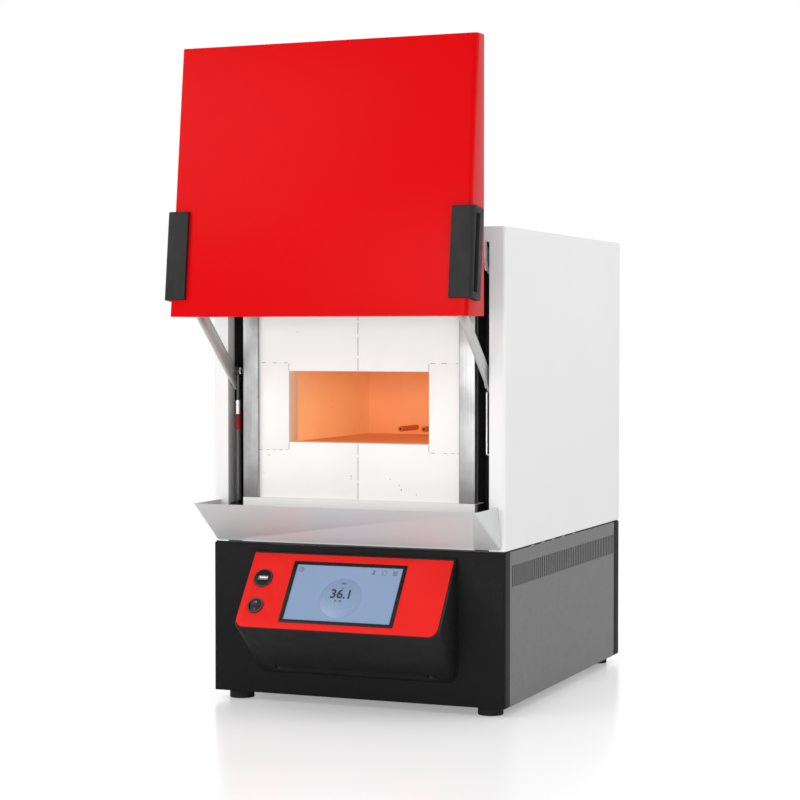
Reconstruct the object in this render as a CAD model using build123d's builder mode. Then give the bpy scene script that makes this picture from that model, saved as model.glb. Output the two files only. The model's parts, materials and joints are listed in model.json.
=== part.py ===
from build123d import *
from math import acos, atan2, cos, degrees, hypot, radians, sin
import os

os.makedirs("parts", exist_ok=True)

# Laboratory chamber furnace with a door that lifts on parallel arms.
# Millimetres, +Z up, +X to the right of someone facing the door, -Y towards that person.
# The model stands on Z = 0 with its door raised, and its box is centred on the Z axis.

# Casing
case_width = 386.0
case_depth = 486.0
case_top = 585.0
sheet = 1.2
case_bend = 4.0
flange_width = 20.0
flange_return = 18.0
header_height = 18.0
hem = 12.0
fit_gap = 0.3

# Base
foot_height = 11.0
foot_radius = 15.5
foot_inset_x = 26.5
foot_inset_y = 25.0
base_top = 197.0
deck_thickness = 2.0
deck_inset = 2.0
corner_return = 19.0
rear_return = 26.0
base_bend = 3.0

# Ventilation slots of the base
slot_pitch = 7.6
slot_width = 4.0
slot_height = 26.0
slot_row_start = 27.0
slot_row_margin = 29.0
slot_row_drop = 30.0
rear_slot_pitch = 15.2
rear_slot_margin = 26.5

# Spill lip below the door opening
lip_rise = 51.0
lip_reach = 76.0
lip_foot_inset = 3.0
lip_rim_inset = 9.0
lip_wall = 1.5
lip_clear = 1.0

# Chamber and its ceramic fibre
chamber_height = 88.0
chamber_depth = 257.0
chamber_floor_height = 324.0
board_recess = 8.0
board_thickness = 26.5
lower_header_height = 55.4
block_overlap = 10.0
fibre_inset = 47.0
side_insulation = 25.0
lining_thickness = 28.0
rear_fibre_thickness = 107.0
fibre_top_gap = 1.2
element_thickness = 3.0
element_rows = 7
element_pocket = 4.0
element_margin = 18.0

# Thermocouples
probe_radius = 3.5
probe_sides = 12
probe_bore_radius = 1.6
probe_reach = 57.0
probe_height = 9.0
probe_positions = (-25.0, 8.0)
probe_tail = 14.0

# Stainless strips beside the fibre front
guard_cover = 7.9
guard_width = 20.5
guard_recess = 3.0
guard_return = 8.0

# Raised door
door_side_inset = 3.0
door_height = 323.5
door_rise_open = 79.7
door_gap_open = 66.0
door_gap_closed = 3.0
door_base_thickness = 57.0
door_top_thickness = 21.0
door_sheet = 1.2
door_edge_radius = 6.0
door_fibre_gap = 2.0
door_channel = 17.0
door_pan_return = 15.0
plug_overlap = 33.0
plug_bottom = 38.0
plug_height = 144.0
plug_gap = 0.4
plug_chamfer = 4.0

# Handles that wrap the side edges of the door
handle_length = 106.0
handle_rise = 20.0
handle_proud = 5.0
handle_side = 6.5
handle_front_width = 28.5
handle_depth = 25.0
handle_corner = 6.5
groove_width = 12.0
groove_depth = 4.5
groove_margin = 8.0
groove_start = 1.0

# Lift arms, one pair on each side, and their pivots
pivot_setback = 14.8
upper_pivot_drop = 28.1
pivot_spacing = 140.6
door_pivot_inset = 22.0
door_pivot_rise = 10.0
arm_gap = 3.0
arm_thickness = 3.0
arm_width = 18.7
arm_corner = 5.0
pivot_radius = 4.0
running_clearance = 0.05
open_pivot_clearance = 0.3
pivot_head_radius = 6.5
pivot_head_height = 3.0
spacer_radius = 5.0
side_clearance = 0.5
plate_thickness = 3.0
plate_front = 2.0
plate_depth = 58.0
plate_web_thickness = 2.5
door_bracket_thickness = 2.0
door_bracket_margin = 8.0

# Gas strut on the left that carries the weight of the door
strut_side = -1
crank_radius = 16.0
strut_spacing = 5.0
stud_radius = 3.0
stud_head_radius = 4.5
stud_head_height = 2.0
rod_radius = 2.25
rod_length = 78.0
eye_radius = 5.5
eye_thickness = 5.0
strut_sides = 24
tube_radius = 4.5
tube_top_drop = 60.3
tube_length = 88.0
bore_depth = 74.0
collar_radius = 4.3
collar_length = 20.0
neck_radius = 3.0
neck_length = 17.0
tongue_length = 14.0
tongue_width = 7.0
tongue_thickness = 4.0
anchor_radius = 2.5
anchor_sides = 12
anchor_drop = 9.0
slot_slack = 0.5
stroke_slack = 1.5
anchor_plate_spacing = 3.0
anchor_plate_thickness = 2.0
anchor_plate_rise = 7.0
anchor_plate_height = 20.0
anchor_margin = 3.0
anchor_bend_setback = 24.0
anchor_foot_length = 16.0

# Spring wire beside the heel of the right arm
feeler_gap = 0.9
feeler_setback = 13.5
feeler_radius = 1.1
feeler_sides = 8
feeler_length = 75.0
feeler_top_drop = 10.3

# Control housing on the front of the base
housing_inset = 59.5
housing_rise = 27.0
housing_wall = 3.0
housing_end_wall = 6.0
housing_ridge_radius = 6.0
housing_corner_radius = 12.0
housing_rim = 2.0
fascia_slope = 36.0
fascia_length = 103.5
fascia_setout = 8.0
fascia_drop = 10.0
fascia_inset = 2.2
fascia_thickness = 1.8
fascia_corner_radius = 11.0
housing_screw_inset = 32.5
housing_screw_rise = 8.0
housing_screw_radius = 3.2
housing_screw_length = 5.5
screw_sides = 12

# Touch screen
bezel_margin = 56.65
bezel_height = 85.0
bezel_drop = 10.0
bezel_side = 4.95
bezel_brow = 4.2
screen_recess = 0.6
screen_thickness = 2.0
bezel_proud = 0.7
module_depth = 8.0
module_margin = 8.0
board_spacing = 9.0
circuit_board_thickness = 1.6

# Socket and power switch beside the screen
control_column_margin = 20.65
socket_drop = 36.0
socket_radius = 12.5
socket_proud = 1.0
socket_depth = 12.0
socket_slot_width = 13.0
socket_slot_height = 5.4
tongue_width = 10.6
tongue_height = 2.0
switch_drop = 74.5
switch_radius = 10.3
switch_proud = 1.4
switch_depth = 14.0
barrel_sides = 16
rocker_radius = 7.6
rocker_throw = 20.0
rocker_clearance = 0.5
rocker_pivot_depth = 0.5
rocker_valley = 0.3
rocker_depth = 2.5
rocker_pin_radius = 1.0
rocker_pin_reach = 8.9

# Cable gland for the mains lead, without the lead
gland_inset = 73.0
gland_rise = 51.0
gland_bore_radius = 5.0
gland_thread_radius = 10.0
gland_thread_sides = 12
gland_thread_length = 10.0
gland_hex_radius = 13.5
gland_hex_length = 6.0
gland_nut_radius = 11.5
gland_nut_length = 14.0
gland_dome_radius = 9.5
gland_dome_taper = 35.0
gland_dome_length = 5.0
gland_nut_thickness = 5.0

# Places that follow from the sizes above
half_width = case_width / 2
inner_half_width = half_width - sheet
case_bottom = base_top + deck_thickness
board_base = case_bottom + lower_header_height
flange_inner_x = half_width - flange_width
opening_top = case_top - header_height
fibre_half_width = half_width - fibre_inset
guard_outer_x = fibre_half_width + guard_cover
guard_inner_x = guard_outer_x - guard_width
fibre_top = opening_top - fibre_top_gap
chamber_top = chamber_floor_height + chamber_height
lining_half_width = fibre_half_width - side_insulation
chamber_half_width = lining_half_width - lining_thickness
arm_outer_x = flange_inner_x - arm_gap
arm_inner_x = arm_outer_x - arm_thickness
strut_x = arm_inner_x - strut_spacing
upper_pivot_height = opening_top - upper_pivot_drop
lower_pivot_height = upper_pivot_height - pivot_spacing
door_half_width = half_width - door_side_inset
door_bottom_open = lower_pivot_height + door_rise_open
housing_half_width = half_width - housing_inset
housing_bottom = foot_height + housing_rise
housing_screw_x = housing_half_width - housing_screw_inset
fascia_half_width = housing_half_width - fascia_inset
fascia_top = base_top - fascia_drop
control_column_x = control_column_margin - fascia_half_width
bezel_width = 2 * (fascia_half_width - bezel_margin)
screen_width = bezel_width - 2 * bezel_side
screen_height = bezel_height - 2 * bezel_brow
door_tilt = degrees(atan2(door_base_thickness - door_top_thickness, door_height))
door_top_open = door_bottom_open + door_height
front_reach = (
    door_gap_open + door_base_thickness - handle_rise * sin(radians(door_tilt)) + handle_proud * cos(radians(door_tilt))
)
back_reach = case_depth + gland_hex_length + gland_nut_length + gland_dome_length
front_y = (front_reach - back_reach) / 2


def behind(distance):
    """Y of a place this far behind the front plane of the casing."""
    return front_y + distance


def box_between(x, y, z, mode=Mode.ADD):
    """Block between two values on each axis."""
    with Locations(((x[0] + x[1]) / 2, (y[0] + y[1]) / 2, (z[0] + z[1]) / 2)):
        Box(x[1] - x[0], y[1] - y[0], z[1] - z[0], mode=mode)


def pair(side, inner, outer):
    """Low and high X of a piece on the left (-1) or the right (+1)."""
    return tuple(sorted((side * inner, side * outer)))


def save(builder, name):
    """Label the finished piece and write its STEP file."""
    builder.part.label = name
    export_step(builder.part, f"parts/{name}.step")


# The linkage: both arms of a side stay parallel, so the door keeps upright as it swings.
pivot_y = behind(pivot_setback)
door_back_y = behind(-door_gap_open)
door_pivot_y = door_back_y - door_pivot_inset
door_pivot_z = door_bottom_open + door_pivot_rise
arm_forward = pivot_y - door_pivot_y
arm_up = door_pivot_z - lower_pivot_height
arm_length = hypot(arm_forward, arm_up)
open_angle = degrees(atan2(arm_up, arm_forward))
closed_forward = arm_forward - (door_gap_open - door_gap_closed)
closed_angle = degrees(acos(closed_forward / arm_length))
lift_sweep = open_angle + closed_angle
crank_angle = lift_sweep / 2
stud_y = pivot_y - crank_radius * cos(radians(crank_angle))
stud_z = lower_pivot_height + crank_radius * sin(radians(crank_angle))
strut_ratio = crank_radius * sin(radians(crank_angle)) / radians(crank_angle)
strut_sway = stud_y - (pivot_y - crank_radius)
plate_inner_x = flange_inner_x + sheet + fit_gap
plate_outer_x = plate_inner_x + plate_thickness


def disc_between(side, inner, outer, y, z, radius, mode=Mode.ADD):
    """Cylinder along X between two distances from the middle plane."""
    with BuildSketch(Plane.YZ.offset(pair(side, inner, outer)[0])) as disc:
        with Locations((y, z)):
            Circle(radius)
    extrude(disc.sketch, amount=outer - inner, mode=mode)


def hexagon_between(side, inner, outer, y, z, radius):
    """Hexagon head or nut along X between two distances from the middle plane."""
    with BuildSketch(Plane.YZ.offset(pair(side, inner, outer)[0])) as hexagon:
        with Locations((y, z)):
            RegularPolygon(radius, 6)
    extrude(hexagon.sketch, amount=outer - inner)


# Rubber feet
foot_x = half_width - foot_inset_x
front_foot_y = behind(foot_inset_y)
rear_foot_y = behind(case_depth - foot_inset_y)
foot_places = [(sx * foot_x, y) for sx in (-1, 1) for y in (front_foot_y, rear_foot_y)]
with BuildPart() as rubber_feet:
    with BuildSketch():
        with Locations(*foot_places):
            Circle(foot_radius)
    extrude(amount=foot_height)
save(rubber_feet, "rubber_feet")

# Floor of the base
with BuildPart() as base_floor:
    box_between(
        (-inner_half_width, inner_half_width),
        (behind(sheet), behind(case_depth - sheet)),
        (foot_height, foot_height + sheet),
    )
    fillet(base_floor.edges().filter_by(Axis.Z), radius=base_bend - sheet)
save(base_floor, "base_floor")


def corner_panel(front, back, outer_y):
    """Upright panel with both ends folded along the sides, as a U seen from above."""
    inner_front = front + (sheet if outer_y == front else 0)
    inner_back = back - (sheet if outer_y == back else 0)
    with BuildSketch(Plane.XY.offset(foot_height)) as outline:
        with Locations((0, (front + back) / 2)):
            Rectangle(case_width, back - front)
        fillet([v for v in outline.vertices() if abs(v.Y - outer_y) < fit_gap], radius=base_bend)
    with BuildSketch(Plane.XY.offset(foot_height)) as hollow:
        with Locations((0, (inner_front + inner_back) / 2)):
            Rectangle(2 * inner_half_width, inner_back - inner_front)
        fillet([v for v in hollow.vertices() if abs(v.Y - outer_y) < 2 * sheet], radius=base_bend - sheet)
    extrude(outline.sketch, amount=base_top - foot_height)
    extrude(hollow.sketch, amount=base_top - foot_height, mode=Mode.SUBTRACT)


# Front panel of the base, folded round both front corners
with BuildPart() as base_front_panel:
    corner_panel(behind(0), behind(corner_return), behind(0))
save(base_front_panel, "base_front_panel")

# Slotted side panels of the base
slot_row_end = case_depth - slot_row_margin
slot_count = int((slot_row_end - slot_row_start - slot_width) / slot_pitch) + 1
slot_row_middle = behind((slot_row_start + slot_row_end) / 2)
slot_row_height = base_top - slot_row_drop
for side, name in ((-1, "base_side_left"), (1, "base_side_right")):
    low_x, high_x = pair(side, inner_half_width, half_width)
    with BuildPart() as base_side:
        box_between(
            (low_x, high_x),
            (behind(corner_return + fit_gap), behind(case_depth - rear_return - fit_gap)),
            (foot_height, base_top),
        )
        with BuildSketch(Plane.YZ.offset(low_x)):
            with Locations((slot_row_middle, slot_row_height)):
                with GridLocations(slot_pitch, 0, slot_count, 1):
                    Rectangle(slot_width, slot_height)
        extrude(amount=sheet, mode=Mode.SUBTRACT)
    save(base_side, name)

# Rear panel of the base, with two groups of slots and a hole for the cable gland
rear_slot_count = int((half_width - 2 * rear_slot_margin) / rear_slot_pitch)
gland_x = half_width - gland_inset
gland_z = foot_height + gland_rise
with BuildPart() as base_rear_panel:
    corner_panel(behind(case_depth - rear_return), behind(case_depth), behind(case_depth))
    with BuildSketch(Plane.XZ.offset(-behind(case_depth - 2 * sheet))):
        with Locations((-half_width / 2, slot_row_height), (half_width / 2, slot_row_height)):
            with GridLocations(rear_slot_pitch, 0, rear_slot_count, 1):
                Rectangle(slot_width, slot_height)
        with Locations((gland_x, gland_z)):
            Circle(gland_thread_radius + running_clearance)
    extrude(amount=-4 * sheet, mode=Mode.SUBTRACT)
save(base_rear_panel, "base_rear_panel")

# Cable gland: thread and lock nut inside the panel, hexagon and domed nut outside
gland_start = behind(case_depth)
with BuildPart() as cable_gland:
    with BuildSketch(Plane.XZ.offset(-gland_start)):
        with Locations((gland_x, gland_z)):
            RegularPolygon(gland_hex_radius, 6)
    extrude(amount=-gland_hex_length)
    with BuildSketch(Plane.XZ.offset(-gland_start - gland_hex_length)):
        with Locations((gland_x, gland_z)):
            RegularPolygon(gland_nut_radius, 6, rotation=30)
    extrude(amount=-gland_nut_length)
    with BuildSketch(Plane.XZ.offset(-gland_start - gland_hex_length - gland_nut_length)):
        with Locations((gland_x, gland_z)):
            Circle(gland_dome_radius)
    extrude(amount=-gland_dome_length, taper=gland_dome_taper)
    with BuildSketch(Plane.XZ.offset(-gland_start)):
        with Locations((gland_x, gland_z)):
            RegularPolygon(gland_thread_radius, gland_thread_sides)
    extrude(amount=gland_thread_length)
    with BuildSketch(Plane.XZ.offset(-gland_start + sheet)):
        with Locations((gland_x, gland_z)):
            RegularPolygon(gland_hex_radius, 6)
    extrude(amount=gland_nut_thickness)
    with BuildSketch(Plane.XZ.offset(-gland_start)):
        with Locations((gland_x, gland_z)):
            Circle(gland_bore_radius)
    extrude(amount=case_depth, both=True, mode=Mode.SUBTRACT)
save(cable_gland, "cable_gland")

# Deck between base and casing, set in to leave a shadow line
with BuildPart() as deck_plate:
    box_between(
        (-half_width + deck_inset, half_width - deck_inset),
        (behind(deck_inset), behind(case_depth - deck_inset)),
        (base_top, case_bottom),
    )
save(deck_plate, "deck_plate")

# White casing: both sides and the top in one folded sheet, with a framed front window
wrapper_back = case_depth - sheet - fit_gap
with BuildPart() as case_wrapper:
    box_between((-half_width, half_width), (behind(0), behind(wrapper_back)), (case_bottom, case_top))
    front_face = case_wrapper.faces().sort_by(Axis.Y)[0]
    upright_edges = case_wrapper.edges().filter_by(Axis.Z).group_by(Axis.Y)[0]
    top_edges = case_wrapper.edges().filter_by(Axis.Y).group_by(Axis.Z)[-1]
    fillet(upright_edges + top_edges, radius=case_bend)
    bottom_face = case_wrapper.faces().sort_by(Axis.Z)[0]
    rear_face = case_wrapper.faces().sort_by(Axis.Y)[-1]
    offset(amount=-sheet, openings=[bottom_face, rear_face])
    box_between(
        (-flange_inner_x, flange_inner_x),
        (behind(-sheet), behind(2 * sheet)),
        (case_bottom, opening_top),
        mode=Mode.SUBTRACT,
    )
    for side in (-1, 1):
        box_between(
            pair(side, flange_inner_x, flange_inner_x + sheet),
            (behind(0), behind(flange_return)),
            (case_bottom, opening_top),
        )
        box_between(
            pair(side, inner_half_width - hem, inner_half_width),
            (behind(flange_return + hem), behind(wrapper_back)),
            (case_bottom, case_bottom + sheet),
        )
        box_between(
            pair(side, inner_half_width - hem, inner_half_width),
            (behind(wrapper_back - sheet), behind(wrapper_back)),
            (case_bottom, case_top - case_bend),
        )
        for height in (lower_pivot_height, upper_pivot_height):
            box_between(
                pair(side, flange_inner_x, flange_inner_x + sheet),
                (pivot_y - spacer_radius - fit_gap, behind(flange_return)),
                (height - spacer_radius - fit_gap, height + spacer_radius + fit_gap),
                mode=Mode.SUBTRACT,
            )
    box_between(
        (-flange_inner_x - sheet, flange_inner_x + sheet),
        (behind(0), behind(flange_return)),
        (opening_top, opening_top + sheet),
    )
save(case_wrapper, "case_wrapper")

# Back of the casing
with BuildPart() as case_rear_panel:
    with BuildSketch(Plane.XZ.offset(-behind(case_depth - sheet))):
        with Locations((0, (case_bottom + case_top) / 2)):
            RectangleRounded(case_width - 2 * fit_gap, case_top - case_bottom - 2 * fit_gap, case_bend)
    extrude(amount=-sheet)
save(case_rear_panel, "case_rear_panel")

# Lower header: carries the fibre front and closes the casing below it
header_front = behind(guard_recess)
with BuildPart() as lower_header:
    box_between((-guard_outer_x, guard_outer_x), (header_front, header_front + sheet), (case_bottom, board_base))
    box_between(
        (-guard_outer_x, guard_outer_x),
        (header_front, behind(board_recess + board_thickness)),
        (board_base - sheet, board_base),
    )
    box_between(
        (-guard_outer_x, guard_outer_x), (header_front, behind(flange_return)), (case_bottom, case_bottom + sheet)
    )
save(lower_header, "lower_header")


# Spill lip: an open trough in front of the casing
lip_foot_half_width = half_width - lip_foot_inset
lip_rim_half_width = half_width - lip_rim_inset
lip_bottom = case_bottom + lip_clear
with BuildPart() as spill_lip:
    with BuildSketch(Plane.YZ.offset(-half_width)):
        with BuildLine():
            Polyline(
                (behind(0), lip_bottom),
                (behind(-lip_reach), lip_bottom + lip_rise),
                (behind(0), lip_bottom + lip_rise),
                close=True,
            )
        make_face()
    extrude(amount=case_width)
    with BuildSketch(Plane.XZ.offset(-behind(0))):
        with BuildLine():
            Polyline(
                (-lip_foot_half_width, lip_bottom),
                (lip_foot_half_width, lip_bottom),
                (lip_rim_half_width, lip_bottom + lip_rise),
                (-lip_rim_half_width, lip_bottom + lip_rise),
                close=True,
            )
        make_face()
    extrude(amount=2 * lip_reach, both=True, mode=Mode.INTERSECT)
    slanted_edges = spill_lip.edges().filter_by(
        lambda edge: abs(edge.tangent_at(0.5).Y) > 0.5 and abs(edge.tangent_at(0.5).Z) > 0.3
    )
    fillet(slanted_edges, radius=case_bend)
    rim_face = spill_lip.faces().sort_by(Axis.Z)[-1]
    back_face = spill_lip.faces().sort_by(Axis.Y)[-1]
    offset(amount=-lip_wall, openings=[rim_face, back_face])
    box_between(
        (-guard_outer_x, guard_outer_x),
        (behind(-lip_wall), behind(guard_recess)),
        (lip_bottom, lip_bottom + lip_wall),
    )
save(spill_lip, "spill_lip")

# Stainless strips that cover the joint between the fibre front and the arm slots
with BuildPart() as front_guards:
    for side in (-1, 1):
        box_between(
            pair(side, guard_inner_x, guard_outer_x),
            (behind(guard_recess), behind(guard_recess + guard_return)),
            (board_base, fibre_top),
        )
    fillet(front_guards.edges().filter_by(Axis.Z).group_by(Axis.Y)[0], radius=sheet)
    for side in (-1, 1):
        box_between(
            pair(side, guard_inner_x + sheet, guard_outer_x - sheet),
            (behind(guard_recess + sheet), behind(guard_recess + 2 * guard_return)),
            (board_base, fibre_top),
            mode=Mode.SUBTRACT,
        )
        box_between(
            pair(side, guard_inner_x - sheet, guard_inner_x + 2 * sheet),
            (behind(board_recess), behind(guard_recess + 2 * guard_return)),
            (board_base, fibre_top),
            mode=Mode.SUBTRACT,
        )
save(front_guards, "front_guards")

# Fibre front: boards above and below the opening, stepped over a block at each side
board_front = behind(board_recess)
board_back = behind(board_recess + board_thickness)
block_bottom = chamber_floor_height - block_overlap
block_top = chamber_top + block_overlap


for side, suffix in ((-1, "left"), (1, "right")):
    with BuildPart() as upper_board:
        box_between(pair(side, 0, fibre_half_width), (board_front, board_back), (block_top, fibre_top))
        box_between(pair(side, 0, chamber_half_width), (board_front, board_back), (chamber_top, block_top))
    save(upper_board, f"front_board_upper_{suffix}")

    with BuildPart() as lower_board:
        box_between(pair(side, 0, fibre_half_width), (board_front, board_back), (board_base, block_bottom))
        box_between(
            pair(side, 0, chamber_half_width), (board_front, board_back), (block_bottom, chamber_floor_height)
        )
    save(lower_board, f"front_board_lower_{suffix}")

with BuildPart() as front_blocks:
    for side in (-1, 1):
        box_between(
            pair(side, chamber_half_width, fibre_half_width), (board_front, board_back), (block_bottom, block_top)
        )
save(front_blocks, "front_blocks")

# Chamber lining behind the front boards
chamber_back_y = behind(board_recess + chamber_depth)
lining_back_y = chamber_back_y + lining_thickness
lining_bottom = chamber_floor_height - lining_thickness
lining_top = chamber_top + lining_thickness
fibre_back_y = lining_back_y + rear_fibre_thickness
with BuildPart() as chamber_floor:
    box_between(
        (-lining_half_width, lining_half_width), (board_back, chamber_back_y), (lining_bottom, chamber_floor_height)
    )
save(chamber_floor, "chamber_floor")

with BuildPart() as chamber_roof:
    box_between((-lining_half_width, lining_half_width), (board_back, chamber_back_y), (chamber_top, lining_top))
save(chamber_roof, "chamber_roof")

element_span = chamber_back_y - board_back - 2 * element_margin
element_row_pitch = (chamber_height - element_margin) / (element_rows - 1)
element_middle_y = (board_back + chamber_back_y) / 2
element_middle_z = (chamber_floor_height + chamber_top) / 2
element_x = lining_half_width - element_pocket
with BuildPart() as chamber_walls:
    for side in (-1, 1):
        box_between(
            pair(side, chamber_half_width, lining_half_width),
            (board_back, chamber_back_y),
            (chamber_floor_height, chamber_top),
        )
        box_between(
            pair(side, element_x, lining_half_width),
            (board_back + element_margin / 2, chamber_back_y - element_margin / 2),
            (chamber_floor_height + element_thickness, chamber_top - element_thickness),
            mode=Mode.SUBTRACT,
        )
save(chamber_walls, "chamber_walls")

# Heating elements: one resistance wire snakes along the back of each side wall
with BuildPart() as heating_elements:
    for side in (-1, 1):
        with BuildSketch(Plane.YZ.offset(pair(side, element_x, element_x + element_thickness)[0])):
            for row in range(element_rows):
                row_z = element_middle_z + (row - (element_rows - 1) / 2) * element_row_pitch
                with Locations((element_middle_y, row_z)):
                    Rectangle(element_span, element_thickness)
            for row in range(element_rows - 1):
                bend_z = element_middle_z + (row + 1 - element_rows / 2) * element_row_pitch
                bend_side = 1 if row % 2 else -1
                bend_y = element_middle_y + bend_side * (element_span - element_thickness) / 2
                with Locations((bend_y, bend_z)):
                    Rectangle(element_thickness, element_row_pitch)
        extrude(amount=element_thickness)
save(heating_elements, "heating_elements")

probe_z = chamber_floor_height + probe_height
with BuildPart() as chamber_back:
    box_between((-lining_half_width, lining_half_width), (chamber_back_y, lining_back_y), (lining_bottom, lining_top))
    with BuildSketch(Plane.XZ.offset(-chamber_back_y)):
        with Locations(*[(x, probe_z) for x in probe_positions]):
            RegularPolygon(probe_radius + fit_gap, probe_sides)
    extrude(amount=-lining_thickness, mode=Mode.SUBTRACT)
save(chamber_back, "chamber_back")

# Backing insulation round the lining
with BuildPart() as insulation_lower:
    box_between((-fibre_half_width, fibre_half_width), (board_back, fibre_back_y), (case_bottom, lining_bottom))
save(insulation_lower, "insulation_lower")

with BuildPart() as insulation_upper:
    box_between((-fibre_half_width, fibre_half_width), (board_back, fibre_back_y), (lining_top, fibre_top))
save(insulation_upper, "insulation_upper")

with BuildPart() as insulation_sides:
    for side in (-1, 1):
        box_between(
            pair(side, lining_half_width, fibre_half_width), (board_back, fibre_back_y), (lining_bottom, lining_top)
        )
save(insulation_sides, "insulation_sides")

with BuildPart() as insulation_rear:
    box_between((-lining_half_width, lining_half_width), (lining_back_y, fibre_back_y), (lining_bottom, lining_top))
    with BuildSketch(Plane.XZ.offset(-lining_back_y)):
        with Locations(*[(x, probe_z) for x in probe_positions]):
            RegularPolygon(probe_radius + fit_gap, probe_sides)
    extrude(amount=-rear_fibre_thickness, mode=Mode.SUBTRACT)
save(insulation_rear, "insulation_rear")

# Black sheets that line the arm slots on the fibre side
with BuildPart() as slot_liners:
    for side in (-1, 1):
        box_between(
            pair(side, fibre_half_width, fibre_half_width + sheet),
            (board_back, fibre_back_y),
            (case_bottom, fibre_top),
        )
save(slot_liners, "slot_liners")

# Thermocouples: ceramic sheaths through the back wall
with BuildPart() as thermocouples:
    with BuildSketch(Plane.XZ.offset(-(chamber_back_y - probe_reach))):
        with Locations(*[(x, probe_z) for x in probe_positions]):
            RegularPolygon(probe_radius, probe_sides)
            RegularPolygon(probe_bore_radius, probe_sides, mode=Mode.SUBTRACT)
    extrude(amount=-(fibre_back_y + probe_tail - chamber_back_y + probe_reach))
save(thermocouples, "thermocouples")

# Pivot plates: black sections outside the slots that carry the arms and close the slots behind
plate_top = opening_top - fit_gap
plate_back = behind(plate_front + plate_depth)
web_inner_x = fibre_half_width + sheet + fit_gap
with BuildPart() as pivot_plates:
    for side in (-1, 1):
        box_between(
            pair(side, plate_inner_x, plate_outer_x),
            (behind(plate_front), plate_back),
            (case_bottom, plate_top),
        )
        box_between(
            pair(side, web_inner_x, inner_half_width - fit_gap),
            (plate_back - plate_web_thickness, plate_back),
            (case_bottom + 2 * sheet, plate_top),
        )
save(pivot_plates, "pivot_plates")

# Pivot studs of the arms, welded to the pivot plates
with BuildPart() as arm_pivot_studs:
    for side in (-1, 1):
        for height in (lower_pivot_height, upper_pivot_height):
            head_outer_x = arm_inner_x - side_clearance
            disc_between(side, head_outer_x, arm_outer_x + side_clearance, pivot_y, height, pivot_radius)
            hexagon_between(side, head_outer_x - pivot_head_height, head_outer_x, pivot_y, height, pivot_head_radius)
            hexagon_between(side, arm_outer_x + side_clearance, plate_inner_x, pivot_y, height, spacer_radius)
save(arm_pivot_studs, "arm_pivot_studs")


def arm_plate(side, base_z, pin_clearance):
    """Flat bar with clipped corners and a pivot hole at each end."""
    heel = (pivot_y, base_z)
    tip = (door_pivot_y, base_z + arm_up)
    middle = ((heel[0] + tip[0]) / 2, (heel[1] + tip[1]) / 2)
    with BuildSketch(Plane.YZ.offset(pair(side, arm_inner_x, arm_outer_x)[0])) as outline:
        with Locations(middle):
            Rectangle(arm_length + arm_width, arm_width, rotation=-open_angle)
        chamfer(outline.vertices(), length=arm_corner)
        with Locations(heel):
            Circle(pivot_radius + running_clearance, mode=Mode.SUBTRACT)
        with Locations(tip):
            Circle(pivot_radius + pin_clearance, mode=Mode.SUBTRACT)
    extrude(outline.sketch, amount=arm_thickness)


# Lower arms: the left one also drives the strut
with BuildPart() as lower_arms:
    for side in (-1, 1):
        arm_plate(side, lower_pivot_height, running_clearance)
    disc_between(strut_side, arm_inner_x, arm_outer_x, stud_y, stud_z, stud_radius, mode=Mode.SUBTRACT)
save(lower_arms, "lower_arms")

# Upper arms: the pivot at their door end is a looser fit
with BuildPart() as upper_arms:
    for side in (-1, 1):
        arm_plate(side, upper_pivot_height, open_pivot_clearance)
save(upper_arms, "upper_arms")

# Stud on the lower arm for the rod end
eye_inner_x = strut_x - eye_thickness / 2
eye_outer_x = strut_x + eye_thickness / 2
stud_head_outer_x = eye_inner_x - side_clearance
with BuildPart() as strut_stud:
    disc_between(strut_side, stud_head_outer_x, arm_outer_x, stud_y, stud_z, stud_radius)
    hexagon_between(
        strut_side, stud_head_outer_x - stud_head_height, stud_head_outer_x, stud_y, stud_z, stud_head_radius
    )
save(strut_stud, "strut_stud")

# Strut rod with an eye on top
with BuildPart() as strut_rod:
    disc_between(strut_side, eye_inner_x, eye_outer_x, stud_y, stud_z, eye_radius)
    with BuildSketch(Plane.XY.offset(stud_z - eye_radius / 2)):
        with Locations((strut_side * strut_x, stud_y)):
            Circle(rod_radius)
    extrude(amount=-rod_length)
    disc_between(
        strut_side,
        eye_inner_x,
        eye_outer_x,
        stud_y,
        stud_z,
        stud_radius + running_clearance,
        mode=Mode.SUBTRACT,
    )
save(strut_rod, "strut_rod")


def strut_ring(radius, bottom, height, mode=Mode.ADD):
    """Section of the strut with many flats about its upright axis."""
    with BuildSketch(Plane.XY.offset(bottom)) as ring:
        with Locations((strut_side * strut_x, stud_y)):
            RegularPolygon(radius, strut_sides, major_radius=False)
    extrude(ring.sketch, amount=height, mode=mode)


# Strut tube, closed below by a tongue for the anchor pin
tube_top = lower_pivot_height - tube_top_drop
tube_bottom = tube_top - tube_length
anchor_z = tube_bottom - anchor_drop
bore_radius = rod_radius + running_clearance
with BuildPart() as strut_tube:
    strut_ring(tube_radius, tube_bottom, tube_length)
    strut_ring(bore_radius, tube_top - bore_depth, bore_depth, mode=Mode.SUBTRACT)
    box_between(
        pair(strut_side, strut_x - tongue_thickness / 2, strut_x + tongue_thickness / 2),
        (stud_y - tongue_width / 2, stud_y + tongue_width / 2),
        (tube_bottom - tongue_length, tube_bottom),
    )
    with BuildSketch(Plane.YZ.offset(strut_side * strut_x)):
        with Locations((stud_y, anchor_z)):
            RegularPolygon(anchor_radius, anchor_sides)
    extrude(amount=tongue_thickness, both=True, mode=Mode.SUBTRACT)
save(strut_tube, "strut_tube")

with BuildPart() as strut_collar:
    strut_ring(collar_radius, tube_top, collar_length)
    strut_ring(bore_radius, tube_top, collar_length, mode=Mode.SUBTRACT)
save(strut_collar, "strut_collar")

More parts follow.
